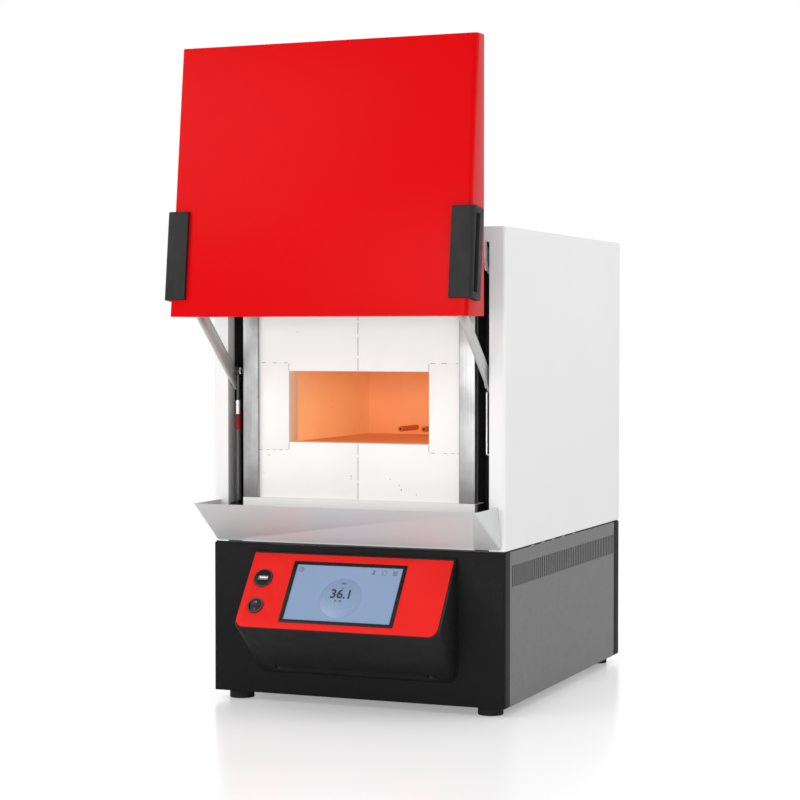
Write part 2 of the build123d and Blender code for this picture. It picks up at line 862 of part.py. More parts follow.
with BuildPart() as strut_neck:
    strut_ring(neck_radius, tube_top + collar_length, neck_length)
    strut_ring(bore_radius, tube_top + collar_length, neck_length, mode=Mode.SUBTRACT)
save(strut_neck, "strut_neck")

# Anchor pin at the foot of the strut
anchor_plate_x = strut_x + anchor_plate_spacing
anchor_pin_inner_x = strut_x - tongue_thickness
anchor_pin_outer_x = anchor_plate_x + 2 * anchor_plate_thickness
with BuildPart() as strut_pin:
    with BuildSketch(Plane.YZ.offset(pair(strut_side, anchor_pin_inner_x, anchor_pin_outer_x)[0])):
        with Locations((stud_y, anchor_z)):
            RegularPolygon(anchor_radius, anchor_sides)
    extrude(amount=anchor_pin_outer_x - anchor_pin_inner_x)
save(strut_pin, "strut_pin")

# Slotted anchor bracket: the slot is as long as the strut sways
slot_front = stud_y - strut_sway - anchor_radius - slot_slack
slot_back = stud_y + anchor_radius + slot_slack
anchor_outer_x = anchor_plate_x + anchor_plate_thickness
anchor_bend_y = behind(anchor_bend_setback)
anchor_high = anchor_z + anchor_plate_rise
anchor_span = (anchor_high - anchor_plate_height, anchor_high)
with BuildPart() as strut_bracket:
    box_between(
        pair(strut_side, anchor_plate_x, anchor_outer_x), (slot_front - anchor_margin, anchor_bend_y), anchor_span
    )
    box_between(
        pair(strut_side, anchor_plate_x, plate_inner_x),
        (anchor_bend_y - anchor_plate_thickness, anchor_bend_y),
        anchor_span,
    )
    box_between(
        pair(strut_side, plate_inner_x - anchor_plate_thickness, plate_inner_x),
        (anchor_bend_y - anchor_plate_thickness, anchor_bend_y + anchor_foot_length),
        anchor_span,
    )
    with BuildSketch(Plane.YZ.offset(pair(strut_side, anchor_plate_x, anchor_outer_x)[0])):
        with Locations(((slot_front + slot_back) / 2, anchor_z)):
            SlotOverall(slot_back - slot_front, 2 * (anchor_radius + stroke_slack))
    extrude(amount=anchor_plate_thickness, mode=Mode.SUBTRACT)
save(strut_bracket, "strut_bracket")

# Spring wire beside the heel of the right arm, bent out to the edge of the casing
feeler_y = behind(feeler_setback)
feeler_x = arm_inner_x - feeler_gap - feeler_radius
feeler_bottom = lower_pivot_height - feeler_top_drop - feeler_length
with BuildPart() as heel_feeler:
    with BuildLine():
        FilletPolyline(
            (feeler_x, feeler_y, feeler_bottom + feeler_length),
            (feeler_x, feeler_y, feeler_bottom),
            (flange_inner_x, feeler_y, feeler_bottom),
            radius=2 * feeler_radius,
        )
    with BuildSketch(Plane.XY.offset(feeler_bottom + feeler_length)):
        with Locations((feeler_x, feeler_y)):
            RegularPolygon(feeler_radius, feeler_sides)
    sweep()
save(heel_feeler, "heel_feeler")

# Door shell: a wedge-shaped sheet pan, open at the back
door_front_bottom_y = door_back_y - door_base_thickness
door_front_top_y = door_back_y - door_top_thickness
bracket_inner_x = arm_outer_x + side_clearance
bracket_outer_x = bracket_inner_x + door_bracket_thickness
notch_inner_x = arm_inner_x - side_clearance - 2 * pivot_head_height
notch_outer_x = bracket_outer_x + fit_gap
notch_depth = door_pivot_inset + arm_width
with BuildPart() as door_shell:
    with BuildSketch(Plane.YZ.offset(-door_half_width)):
        with BuildLine():
            Polyline(
                (door_back_y, door_bottom_open),
                (door_front_bottom_y, door_bottom_open),
                (door_front_top_y, door_top_open),
                (door_back_y, door_top_open),
                close=True,
            )
        make_face()
    extrude(amount=2 * door_half_width)
    front_edges = door_shell.edges().filter_by(lambda edge: edge.center().Y < door_front_top_y + fit_gap)
    upright = front_edges.filter_by(lambda edge: abs(edge.tangent_at(0.5).Z) > 0.5)
    fillet(upright, radius=door_edge_radius)
    offset(amount=-door_sheet, openings=door_shell.faces().sort_by(Axis.Y)[-1])
    for side in (-1, 1):
        box_between(
            pair(side, notch_inner_x, notch_outer_x),
            (door_back_y - notch_depth, door_back_y),
            (door_bottom_open, door_bottom_open + door_sheet),
            mode=Mode.SUBTRACT,
        )
save(door_shell, "door_shell")

# Inner pan of the door and the fibre that it holds
door_pan_half_width = arm_inner_x - door_channel
pan_low = door_bottom_open + door_sheet
pan_high = door_top_open - door_sheet
with BuildPart() as door_back_pan:
    box_between(
        (-door_pan_half_width, door_pan_half_width), (door_back_y - door_pan_return, door_back_y), (pan_low, pan_high)
    )
    box_between(
        (-door_pan_half_width + door_sheet, door_pan_half_width - door_sheet),
        (door_back_y - 2 * door_pan_return, door_back_y - door_sheet),
        (pan_low, pan_high),
        mode=Mode.SUBTRACT,
    )
save(door_back_pan, "door_back_pan")

fibre_x = door_pan_half_width - door_sheet
fibre_rear_y = door_back_y - door_sheet
fibre_low = pan_low + door_fibre_gap
fibre_high = pan_high - door_fibre_gap


def behind_skin(height):
    """Y of a place just behind the sloping front sheet of the door."""
    lean = (door_front_top_y - door_front_bottom_y) / door_height
    return door_front_bottom_y + (height - door_bottom_open) * lean + door_sheet / cos(radians(door_tilt)) + fit_gap


with BuildPart() as door_insulation:
    with BuildSketch(Plane.YZ.offset(-fibre_x)):
        with BuildLine():
            Polyline(
                (fibre_rear_y, fibre_low),
                (behind_skin(fibre_low), fibre_low),
                (behind_skin(fibre_high), fibre_high),
                (fibre_rear_y, fibre_high),
                close=True,
            )
        make_face()
    extrude(amount=2 * fibre_x)
save(door_insulation, "door_insulation")

# Fibre plug on the back of the door, which meets the fibre front when it is down
plug_reach = door_gap_closed + board_recess - plug_gap
plug_half_width = chamber_half_width + plug_overlap
with BuildPart() as door_plug:
    box_between(
        (-plug_half_width, plug_half_width),
        (door_back_y, door_back_y + plug_reach),
        (door_bottom_open + plug_bottom, door_bottom_open + plug_bottom + plug_height),
    )
    chamfer(door_plug.edges().group_by(Axis.Y)[-1], length=plug_chamfer)
save(door_plug, "door_plug")

# Brackets and welded studs that join the door to its arms
bracket_low = door_pivot_z - door_bracket_margin
bracket_high = door_pivot_z + pivot_spacing + door_bracket_margin
door_inner_x = door_half_width - door_sheet
with BuildPart() as door_brackets:
    for side in (-1, 1):
        box_between(
            pair(side, bracket_inner_x, bracket_outer_x),
            (door_pivot_y - door_bracket_margin, door_back_y),
            (bracket_low, bracket_high),
        )
        box_between(
            pair(side, bracket_inner_x, door_inner_x),
            (door_back_y - door_bracket_thickness, door_back_y),
            (bracket_low, bracket_high),
        )
save(door_brackets, "door_brackets")

with BuildPart() as door_pivot_studs:
    for side in (-1, 1):
        for height in (door_pivot_z, door_pivot_z + pivot_spacing):
            head_outer_x = arm_inner_x - side_clearance
            disc_between(side, head_outer_x, bracket_inner_x, door_pivot_y, height, pivot_radius)
            hexagon_between(
                side, head_outer_x - pivot_head_height, head_outer_x, door_pivot_y, height, pivot_head_radius
            )
save(door_pivot_studs, "door_pivot_studs")

# Handles: moulded channels with a finger groove along the side
tilt = radians(door_tilt)
door_face = Plane(
    origin=(0, door_front_bottom_y, door_bottom_open), x_dir=(1, 0, 0), z_dir=(0, -cos(tilt), sin(tilt))
)
handle_outer_x = door_half_width + handle_side
handle_inner_x = handle_outer_x - handle_front_width
handle_end = handle_rise + handle_length
for side, name in ((-1, "handle_left"), (1, "handle_right")):
    low_x, high_x = pair(side, handle_inner_x, handle_outer_x)
    with BuildPart() as handle:
        with BuildSketch(door_face.offset(-handle_depth)):
            with Locations(((low_x + high_x) / 2, handle_rise + handle_length / 2)):
                Rectangle(high_x - low_x, handle_length)
        extrude(amount=handle_depth + handle_proud)
        outer_edges = handle.edges().filter_by(
            lambda edge: abs(edge.center().X) > handle_outer_x - fit_gap and abs(edge.tangent_at(0.5).Z) > 0.5
        )
        fillet(outer_edges.sort_by(Axis.Y)[0], radius=handle_corner)
        with BuildSketch(door_face.offset(-2 * handle_depth)):
            inner_low, inner_high = pair(side, 0, door_half_width)
            with Locations(((inner_low + inner_high) / 2, handle_rise + handle_length / 2)):
                Rectangle(inner_high - inner_low, 2 * handle_length)
        extrude(amount=2 * handle_depth, mode=Mode.SUBTRACT)
        groove_low, groove_high = pair(side, handle_outer_x - groove_depth, handle_outer_x + groove_depth)
        with BuildSketch(door_face.offset(-groove_start - groove_width)):
            with Locations(((groove_low + groove_high) / 2, handle_rise + handle_length / 2)):
                Rectangle(groove_high - groove_low, handle_length - 2 * groove_margin)
        extrude(amount=groove_width, mode=Mode.SUBTRACT)
    save(handle, name)

# Control housing: a moulded wedge with a sloping face
slope = radians(fascia_slope)
down_y = -sin(slope)
down_z = -cos(slope)
fascia_plane = Plane(
    origin=(0, behind(-fascia_setout), fascia_top), x_dir=(1, 0, 0), z_dir=(0, -cos(slope), sin(slope))
)
rim_top = (behind(-fascia_setout) - housing_rim * down_y, fascia_top - housing_rim * down_z)
ridge = (
    behind(-fascia_setout) + (fascia_length + housing_rim) * down_y,
    fascia_top + (fascia_length + housing_rim) * down_z,
)


housing_corners = [(behind(0), housing_bottom), ridge, rim_top, (behind(0), rim_top[1])]
with BuildPart() as control_housing:
    with BuildSketch(Plane.YZ.offset(-housing_half_width)):
        with BuildLine():
            Polyline(*housing_corners, close=True)
        make_face()
    extrude(amount=2 * housing_half_width)
    lower_edges = control_housing.edges().filter_by(
        lambda edge: abs(edge.center().X) > housing_half_width - fit_gap
        and abs(edge.center().Z - (housing_bottom + ridge[1]) / 2) < fit_gap
    )
    fillet(lower_edges, radius=housing_corner_radius)
    ridge_edges = control_housing.edges().filter_by(Axis.X).sort_by(Axis.Y)[0]
    fillet(ridge_edges, radius=housing_ridge_radius)
    with BuildSketch(Plane.YZ.offset(housing_end_wall - housing_half_width)):
        with BuildLine():
            Polyline(*housing_corners, close=True)
        make_face()
        offset(amount=-housing_wall, kind=Kind.INTERSECTION)
    extrude(amount=2 * (housing_half_width - housing_end_wall), mode=Mode.SUBTRACT)
    box_between(
        (housing_end_wall - housing_half_width, housing_half_width - housing_end_wall),
        (behind(-housing_wall), behind(0)),
        (housing_bottom + 2 * housing_wall, rim_top[1] - housing_wall),
        mode=Mode.SUBTRACT,
    )
    with BuildSketch(fascia_plane.offset(-fascia_thickness)) as fascia_recess:
        with Locations((0, -fascia_length / 2)):
            Rectangle(2 * (fascia_half_width + fit_gap), fascia_length + 2 * fit_gap)
        fillet(fascia_recess.vertices().group_by(Axis.Y)[0], radius=fascia_corner_radius)
    extrude(amount=2 * fascia_thickness, mode=Mode.SUBTRACT)
    with BuildSketch(fascia_plane.offset(-3 * housing_wall)):
        with Locations((0, -bezel_drop - bezel_height / 2)):
            Rectangle(screen_width + 2 * housing_rim, screen_height + 2 * housing_rim)
        with Locations((control_column_x, -socket_drop)):
            Circle(socket_radius - housing_rim)
        with Locations((control_column_x, -switch_drop)):
            Circle(switch_radius - rocker_clearance)
    extrude(amount=4 * housing_wall, mode=Mode.SUBTRACT)
    with BuildSketch(Plane.XZ.offset(-behind(0))):
        with Locations(
            (-housing_screw_x, housing_bottom + housing_screw_rise),
            (housing_screw_x, housing_bottom + housing_screw_rise),
        ):
            RegularPolygon(housing_screw_radius, screw_sides)
    extrude(amount=2 * housing_screw_length, mode=Mode.SUBTRACT)
save(control_housing, "control_housing")

# Screws sunk in the underside of the housing
with BuildPart() as housing_screws:
    with BuildSketch(Plane.XZ.offset(-behind(0))):
        with Locations(
            (-housing_screw_x, housing_bottom + housing_screw_rise),
            (housing_screw_x, housing_bottom + housing_screw_rise),
        ):
            RegularPolygon(housing_screw_radius, screw_sides)
    extrude(amount=housing_screw_length)
save(housing_screws, "housing_screws")

# Red fascia plate, flush in the sloping face
with BuildPart() as control_fascia:
    with BuildSketch(fascia_plane.offset(-fascia_thickness)) as fascia_outline:
        with Locations((0, -fascia_length / 2)):
            Rectangle(2 * fascia_half_width, fascia_length)
        fillet(fascia_outline.vertices().group_by(Axis.Y)[0], radius=fascia_corner_radius)
        with Locations((0, -bezel_drop - bezel_height / 2)):
            Rectangle(bezel_width, bezel_height, mode=Mode.SUBTRACT)
        with Locations((control_column_x, -socket_drop)):
            Circle(socket_radius - socket_proud, mode=Mode.SUBTRACT)
        with Locations((control_column_x, -switch_drop)):
            Circle(switch_radius - socket_proud, mode=Mode.SUBTRACT)
    extrude(amount=fascia_thickness)
save(control_fascia, "control_fascia")

# Screen frame, screen and the circuit board behind them
with BuildPart() as display_bezel:
    with BuildSketch(fascia_plane.offset(-fascia_thickness)):
        with Locations((0, -bezel_drop - bezel_height / 2)):
            Rectangle(bezel_width, bezel_height)
            Rectangle(screen_width, screen_height, mode=Mode.SUBTRACT)
    extrude(amount=fascia_thickness + bezel_proud)
    chamfer(display_bezel.edges().filter_by(Axis.X).group_by(Axis.Y)[0], length=bezel_proud / 2)
save(display_bezel, "display_bezel")

with BuildPart() as display_screen:
    with BuildSketch(fascia_plane.offset(-screen_recess)):
        with Locations((0, -bezel_drop - bezel_height / 2)):
            Rectangle(screen_width, screen_height)
    extrude(amount=-screen_thickness)
    with BuildSketch(fascia_plane.offset(-screen_recess - screen_thickness)):
        with Locations((0, -bezel_drop - bezel_height / 2)):
            Rectangle(screen_width - housing_rim, screen_height - housing_rim)
    extrude(amount=-module_depth)
save(display_screen, "display_screen")

module_back = screen_recess + screen_thickness + module_depth
with BuildPart() as controller_board:
    with BuildSketch(fascia_plane.offset(-module_back)):
        with Locations((0, -bezel_drop - bezel_height / 2)):
            Rectangle(screen_width, screen_height - 2 * module_margin)
    extrude(amount=-circuit_board_thickness)
save(controller_board, "controller_board")

# Data socket with its contact tongue
with BuildPart() as data_socket:
    with BuildSketch(fascia_plane):
        with Locations((control_column_x, -socket_drop)):
            Circle(socket_radius)
    extrude(amount=socket_proud)
    with BuildSketch(fascia_plane):
        with Locations((control_column_x, -socket_drop)):
            Circle(socket_radius - housing_rim - running_clearance)
    extrude(amount=-socket_depth)
    with BuildSketch(fascia_plane.offset(socket_proud)):
        with Locations((control_column_x, -socket_drop)):
            Rectangle(socket_slot_width, socket_slot_height)
    extrude(amount=-socket_depth, mode=Mode.SUBTRACT)
    with BuildSketch(fascia_plane.offset(-socket_depth + socket_proud)):
        with Locations((control_column_x, -socket_drop + tongue_height / 2)):
            Rectangle(tongue_width, tongue_height)
    extrude(amount=socket_depth - 2 * socket_proud)
save(data_socket, "data_socket")

# Round power switch: its body, and the rocker that tilts in it
rocker_bore = rocker_radius + rocker_clearance
rocker_y = fascia_plane.origin.Y + switch_drop * down_y + rocker_pivot_depth * cos(slope)
rocker_z = fascia_plane.origin.Z + switch_drop * down_z - rocker_pivot_depth * sin(slope)
with BuildPart() as switch_body:
    with BuildSketch(fascia_plane):
        with Locations((control_column_x, -switch_drop)):
            Circle(switch_radius)
            Circle(rocker_bore, mode=Mode.SUBTRACT)
    extrude(amount=switch_proud)
    with BuildSketch(fascia_plane):
        with Locations((control_column_x, -switch_drop)):
            RegularPolygon(switch_radius - socket_proud - running_clearance, barrel_sides)
            Circle(rocker_bore, mode=Mode.SUBTRACT)
    extrude(amount=-switch_depth)
    with BuildSketch(fascia_plane.offset(-switch_depth)):
        with Locations((control_column_x, -switch_drop)):
            RegularPolygon(switch_radius - socket_proud - running_clearance, barrel_sides)
    extrude(amount=-socket_proud)
    with BuildSketch(Plane.YZ.offset(control_column_x - rocker_pin_reach - running_clearance)):
        with Locations((rocker_y, rocker_z)):
            Circle(rocker_pin_radius + running_clearance)
    extrude(amount=2 * (rocker_pin_reach + running_clearance), mode=Mode.SUBTRACT)
save(switch_body, "switch_body")

rocker_tilt = slope - radians(rocker_throw / 2)
rocker_middle = (control_column_x, rocker_y, rocker_z)
rocker_face = Plane(origin=rocker_middle, x_dir=(1, 0, 0), z_dir=(0, -cos(rocker_tilt), sin(rocker_tilt)))
rocker_side = Plane(origin=rocker_middle, x_dir=(0, sin(rocker_tilt), cos(rocker_tilt)), z_dir=(1, 0, 0))
rocker_rise = rocker_radius * sin(radians(rocker_throw / 2)) / cos(radians(rocker_throw / 2))
with BuildPart() as power_rocker:
    with BuildSketch(rocker_face.offset(-rocker_depth)):
        Circle(rocker_radius)
    extrude(amount=rocker_depth + rocker_valley + rocker_rise)
    with BuildSketch(rocker_side.offset(-rocker_radius)):
        with BuildLine():
            Polyline(
                (0, rocker_valley),
                (rocker_radius, rocker_valley + rocker_rise),
                (rocker_radius, rocker_depth + rocker_rise),
                (-rocker_radius, rocker_depth + rocker_rise),
                (-rocker_radius, rocker_valley + rocker_rise),
                close=True,
            )
        make_face()
    extrude(amount=2 * rocker_radius, mode=Mode.SUBTRACT)
    with BuildSketch(rocker_side.offset(-rocker_pin_reach)):
        Circle(rocker_pin_radius)
    extrude(amount=2 * rocker_pin_reach)
save(power_rocker, "power_rocker")
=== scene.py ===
import json
import math
import random

import bmesh
import bpy
from mathutils import Matrix, Vector


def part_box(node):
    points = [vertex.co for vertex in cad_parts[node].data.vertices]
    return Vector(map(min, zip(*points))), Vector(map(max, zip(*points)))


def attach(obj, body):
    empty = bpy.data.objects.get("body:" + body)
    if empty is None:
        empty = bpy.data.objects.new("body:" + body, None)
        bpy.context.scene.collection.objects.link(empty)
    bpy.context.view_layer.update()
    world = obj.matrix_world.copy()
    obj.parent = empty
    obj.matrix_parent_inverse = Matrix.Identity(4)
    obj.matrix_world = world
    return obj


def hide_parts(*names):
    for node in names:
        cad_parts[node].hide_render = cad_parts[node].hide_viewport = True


# A laboratory chamber furnace with its door raised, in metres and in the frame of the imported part.

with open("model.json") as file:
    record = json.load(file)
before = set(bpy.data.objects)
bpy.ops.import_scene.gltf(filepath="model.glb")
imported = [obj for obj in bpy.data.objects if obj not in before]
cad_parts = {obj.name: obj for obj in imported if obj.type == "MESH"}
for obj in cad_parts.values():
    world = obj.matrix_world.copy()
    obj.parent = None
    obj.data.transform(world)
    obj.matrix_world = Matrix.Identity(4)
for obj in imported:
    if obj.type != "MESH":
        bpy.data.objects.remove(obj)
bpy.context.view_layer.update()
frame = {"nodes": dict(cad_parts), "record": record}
nodes = frame["nodes"]
MM = 0.001

# Front plane of the casing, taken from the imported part
CASE_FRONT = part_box("case_wrapper")[0][1]


# Camera
CAMERA_RIGHT = 1.00996
CAMERA_AHEAD = 2.34654
CAMERA_HEIGHT = 0.45437
CAMERA_LENS = 94.377
CAMERA_SENSOR = 36.0
CAMERA_REACH = 50.0
LOOK_DOWN = 1.73
LOOK_LEFT = 22.067


def place_camera():
    """Camera at the photographed angle: right of the front and a little above the middle."""
    data = bpy.data.cameras.new("camera")
    data.sensor_width = CAMERA_SENSOR
    data.lens = CAMERA_LENS
    data.clip_end = CAMERA_REACH
    camera = bpy.data.objects.new("camera", data)
    bpy.context.collection.objects.link(camera)
    camera.location = (CAMERA_RIGHT, CASE_FRONT - CAMERA_AHEAD, CAMERA_HEIGHT)
    camera.rotation_euler = (math.radians(90 - LOOK_DOWN), 0.0, math.radians(LOOK_LEFT))
    bpy.context.scene.camera = camera


place_camera()


# Node helpers
class Shader:
    """A material with one Principled shader and short calls for the nodes that feed it."""

    def __init__(self, name, colour, roughness, metallic=0.0, **sockets):
        self.material = bpy.data.materials.new(name)
        self.material.use_nodes = True
        self.tree = self.material.node_tree
        self.surface = self.tree.nodes["Principled BSDF"]
        self.colour = (*colour, 1.0)
        self.surface.inputs["Base Color"].default_value = self.colour
        self.surface.inputs["Roughness"].default_value = roughness
        self.surface.inputs["Metallic"].default_value = metallic
        for socket, value in sockets.items():
            self.surface.inputs[socket.replace("_", " ")].default_value = value
        self.place = self.node("ShaderNodeTexCoord").outputs["Object"]

    def node(self, kind, **settings):
        made = self.tree.nodes.new(kind)
        for key, value in settings.items():
            setattr(made, key, value)
        return made

    def link(self, source, target):
        self.tree.links.new(source, target)

    def stretched(self, scale):
        """Object coordinates with another scale along each axis."""
        mapping = self.node("ShaderNodeMapping")
        mapping.inputs["Scale"].default_value = scale
        self.link(self.place, mapping.inputs["Vector"])
        return mapping.outputs["Vector"]

    def noise(self, scale, detail=3.0, roughness=0.5, stretch=None):
        made = self.node("ShaderNodeTexNoise")
        made.inputs["Scale"].default_value = scale
        made.inputs["Detail"].default_value = detail
        made.inputs["Roughness"].default_value = roughness
        self.link(self.stretched(stretch) if stretch else self.place, made.inputs["Vector"])
        return made.outputs["Fac"]

    def cells(self, scale):
        made = self.node("ShaderNodeTexVoronoi")
        made.inputs["Scale"].default_value = scale
        self.link(self.place, made.inputs["Vector"])
        return made.outputs["Distance"]

    def spread(self, source, low, high, to_low=0.0, to_high=1.0):
        """Map one range of a value on to another, clamped."""
        made = self.node("ShaderNodeMapRange")
        made.inputs["From Min"].default_value = low
        made.inputs["From Max"].default_value = high
        made.inputs["To Min"].default_value = to_low
        made.inputs["To Max"].default_value = to_high
        self.link(source, made.inputs["Value"])
        return made.outputs["Result"]

    def sum_of(self, first, second, kind="ADD"):
        made = self.node("ShaderNodeMath", operation=kind)
        self.link(first, made.inputs[0])
        if isinstance(second, (int, float)):
            made.inputs[1].default_value = second
        else:
            self.link(second, made.inputs[1])
        return made.outputs["Value"]

    def axis(self, name):
        """One coordinate of the place on the piece."""
        made = self.node("ShaderNodeSeparateXYZ")
        self.link(self.place, made.inputs["Vector"])
        return made.outputs[name]

    def tint(self, factor, other, source=None):
        """Blend the colour towards another one by a factor, on top of what feeds it so far."""
        mix = self.node("ShaderNodeMix", data_type="RGBA")
        self.link(factor, mix.inputs["Factor"])
        if source is None:
            mix.inputs["A"].default_value = self.colour
        else:
            self.link(source, mix.inputs["A"])
        mix.inputs["B"].default_value = (*other, 1.0)
        self.link(mix.outputs["Result"], self.surface.inputs["Base Color"])
        return mix.outputs["Result"]

    def rough(self, source, low, high):
        self.link(self.spread(source, 0.3, 0.7, low, high), self.surface.inputs["Roughness"])

    def bump(self, height, strength, distance):
        made = self.node("ShaderNodeBump")
        made.inputs["Strength"].default_value = strength
        made.inputs["Distance"].default_value = distance
        self.link(height, made.inputs["Height"])
        self.link(made.outputs["Normal"], self.surface.inputs["Normal"])


GLOSS_SPREAD = 0.02


def powder_coat(name, colour, shade, roughness, grain, depth, **sockets):
    """Sprayed and baked paint: orange peel, a trace of dirt and uneven gloss."""
    coat = Shader(name, colour, roughness, **sockets)
    peel = coat.noise(grain, 2.0)
    cloud = coat.noise(9.0, 4.0)
    coat.tint(coat.spread(cloud, 0.3, 0.9), shade)
    coat.rough(coat.noise(30.0, 4.0), roughness - GLOSS_SPREAD, roughness + GLOSS_SPREAD)
    coat.bump(peel, 0.35, depth)
    return coat.material


def moulding(name, colour, shade, roughness, grain, depth):
    """Moulded plastic with a spark-eroded grain."""
    plastic = Shader(name, colour, roughness, Specular_IOR_Level=0.2)
    grain_height = plastic.sum_of(plastic.cells(grain), plastic.noise(grain * 0.6, 3.0), "MULTIPLY")
    plastic.tint(plastic.spread(plastic.noise(25.0, 5.0), 0.5, 0.8), shade)
    plastic.rough(plastic.noise(60.0, 4.0), roughness - 0.08, roughness + 0.08)
    plastic.bump(grain_height, 0.5, depth)
    return plastic.material


def brushed(name, colour, shade, roughness, stretch):
    """Rolled or brushed metal, with lines along one axis and cloudy handling marks."""
    metal = Shader(name, colour, roughness, 1.0)
    lines = metal.noise(1.0, 6.0, 0.65, stretch)
    cloud = metal.noise(22.0, 5.0, 0.6)
    mixed = metal.sum_of(metal.sum_of(lines, 0.45, "MULTIPLY"), metal.sum_of(cloud, 0.55, "MULTIPLY"))
    metal.tint(metal.spread(mixed, 0.42, 0.62), shade)
    metal.rough(mixed, roughness - 0.1, roughness + 0.14)
    metal.bump(lines, 0.12, 0.00006)
    return metal.material


def fibre(name, colour, shade, speck, glow=None):
    """Pressed ceramic fibre: matted strands, a few dark specks and faint stains."""
    wool = Shader(name, colour, 0.95, Specular_IOR_Level=0.15)
    strands = wool.noise(700.0, 6.0, 0.7, (1.0, 1.0, 0.35))
    lumps = wool.noise(90.0, 4.0)
    base = wool.tint(wool.spread(wool.noise(14.0, 5.0), 0.5, 0.78), shade)
    spots = wool.cells(46.0)
    small = wool.spread(spots, 0.035, 0.05, 1.0, 0.0)
    rare = wool.spread(wool.noise(17.0, 1.0), 0.56, 0.6)
    wool.tint(wool.sum_of(small, rare, "MULTIPLY"), speck, base)
    height = wool.sum_of(wool.sum_of(strands, 0.5, "MULTIPLY"), lumps)
    wool.bump(height, 0.4, 0.0006)
    if glow:
        wool.surface.inputs["Emission Color"].default_value = (*glow, 1.0)
    return wool


def textured_black(name, level, specular):
    """Coarse black paint, with painted glints in the colour of its grains."""
    paint = Shader(name, (level, level, level * 1.02), 0.5, Specular_IOR_Level=specular)
    grains = paint.noise(800.0, 3.0)
    bright = 2.2 * level
    # Painted glints: lighter specks in the colour stand for grains catching the light.
    paint.tint(paint.spread(paint.noise(900.0, 2.0), 0.6, 0.75), (bright, bright, bright))
    paint.rough(paint.noise(70.0, 4.0), 0.47, 0.53)
    paint.bump(paint.sum_of(paint.cells(1500.0), grains), 0.3, 0.0002)
    return paint.material


# Finishes
# The base's front and sides have one black paint; the lighter side copy is painted sheen for light grazing
# the sides.
black_paint = textured_black("black_front_paint", 0.0085, 0.08)
black_side_painted_sheen = textured_black("black_side_painted_sheen", 0.115, 0.65)
white_paint = powder_coat(
    "white_paint", (0.81, 0.81, 0.81), (0.79, 0.79, 0.788), 0.5, 420.0, 0.00003, Specular_IOR_Level=0.3
)
# The spill lip has the casing's white paint; this darker copy is painted shade for its downward-facing front.
spill_lip_shaded_white = powder_coat(
    "spill_lip_white_painted_shade", (0.64, 0.645, 0.65), (0.62, 0.625, 0.63), 0.45, 380.0, 0.00003, Specular_IOR_Level=0.3
)
door_paint = powder_coat(
    "red_gloss_paint", (0.64, 0.0, 0.0015), (0.61, 0.0, 0.0015), 0.32, 300.0, 0.00002, Specular_IOR_Level=0.07
)
fascia_film = powder_coat(
    "red_fascia_film", (0.77, 0.02, 0.016), (0.74, 0.019, 0.015), 0.4, 900.0, 0.00002, Specular_IOR_Level=0.06
)
# On the deck plate this dark finish is painted shade for the dark line under the casing; the other parts that
# take it are dark.
dark_finish_and_gap_shade = powder_coat("dark_inner_finish_and_gap_shade", (0.02, 0.02, 0.021), (0.03, 0.03, 0.031), 0.5, 500.0, 0.00005)
housing_moulding = moulding(
    "black_housing_plastic", (0.010, 0.010, 0.011), (0.014, 0.014, 0.015), 0.5, 900.0, 0.00012
)
handle_moulding = moulding(
    "handle_plastic", (0.0145, 0.0145, 0.015), (0.018, 0.018, 0.0185), 0.55, 1100.0, 0.00012
)
rubber = moulding("foot_rubber", (0.012, 0.012, 0.012), (0.03, 0.029, 0.028), 0.72, 500.0, 0.0002)
gloss_plastic = moulding(
    "gloss_black_plastic", (0.008, 0.008, 0.009), (0.012, 0.012, 0.013), 0.24, 1600.0, 0.00003
)
switch_plastic = moulding("switch_plastic", (0.012, 0.012, 0.013), (0.02, 0.02, 0.021), 0.3, 1500.0, 0.00004)
gland_plastic = moulding("gland_plastic", (0.02, 0.02, 0.021), (0.03, 0.03, 0.03), 0.5, 900.0, 0.0001)
collar_plastic = moulding(
    "strut_red_plastic", (0.16, 0.004, 0.006), (0.1, 0.003, 0.004), 0.38, 900.0, 0.00008
)
stainless = brushed("brushed_stainless", (0.43, 0.43, 0.43), (0.28, 0.28, 0.285), 0.36, (900.0, 900.0, 8.0))
pan_steel = brushed("pan_stainless", (0.6, 0.6, 0.59), (0.42, 0.42, 0.42), 0.38, (900.0, 900.0, 8.0))
arm_steel = powder_coat(
    "arm_grey_zinc", (0.52, 0.52, 0.52), (0.49, 0.49, 0.49), 0.5, 500.0, 0.00003, Metallic=0.3
)
zinc = brushed("bright_zinc", (0.68, 0.67, 0.65), (0.5, 0.5, 0.5), 0.3, (600.0, 600.0, 600.0))
strut_paint = powder_coat("strut_black_paint", (0.012, 0.012, 0.013), (0.02, 0.02, 0.02), 0.3, 700.0, 0.00003)
wire_metal = brushed("resistance_wire", (0.2, 0.17, 0.15), (0.12, 0.1, 0.09), 0.6, (300.0, 60.0, 300.0))

FIBRE_WHITE = (0.89, 0.887, 0.875)
FIBRE_SHADE = (0.87, 0.865, 0.85)
FIBRE_SPECK = (0.05, 0.045, 0.04)
front_fibre = fibre("front_fibre", FIBRE_WHITE, FIBRE_SHADE, FIBRE_SPECK).material
backing_fibre = fibre("backing_fibre", (0.74, 0.72, 0.66), (0.66, 0.62, 0.55), (0.1, 0.08, 0.06)).material

# Depths behind the front of the casing between which the painted glow of the lining changes
FRONT_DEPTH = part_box("front_blocks")[0][1] - CASE_FRONT
GLOW_START = FRONT_DEPTH + 50.0 * MM
GLOW_END = 240.0 * MM
# Painted shade under the chamber roof: the glow fades over this depth, down to this share.
CROWN_DEPTH = 45.0 * MM
CROWN_SHADE = 0.62
CHAMBER_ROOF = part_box("chamber_roof")[0][2]
CHAMBER_SPECK = (0.2, 0.08, 0.03)


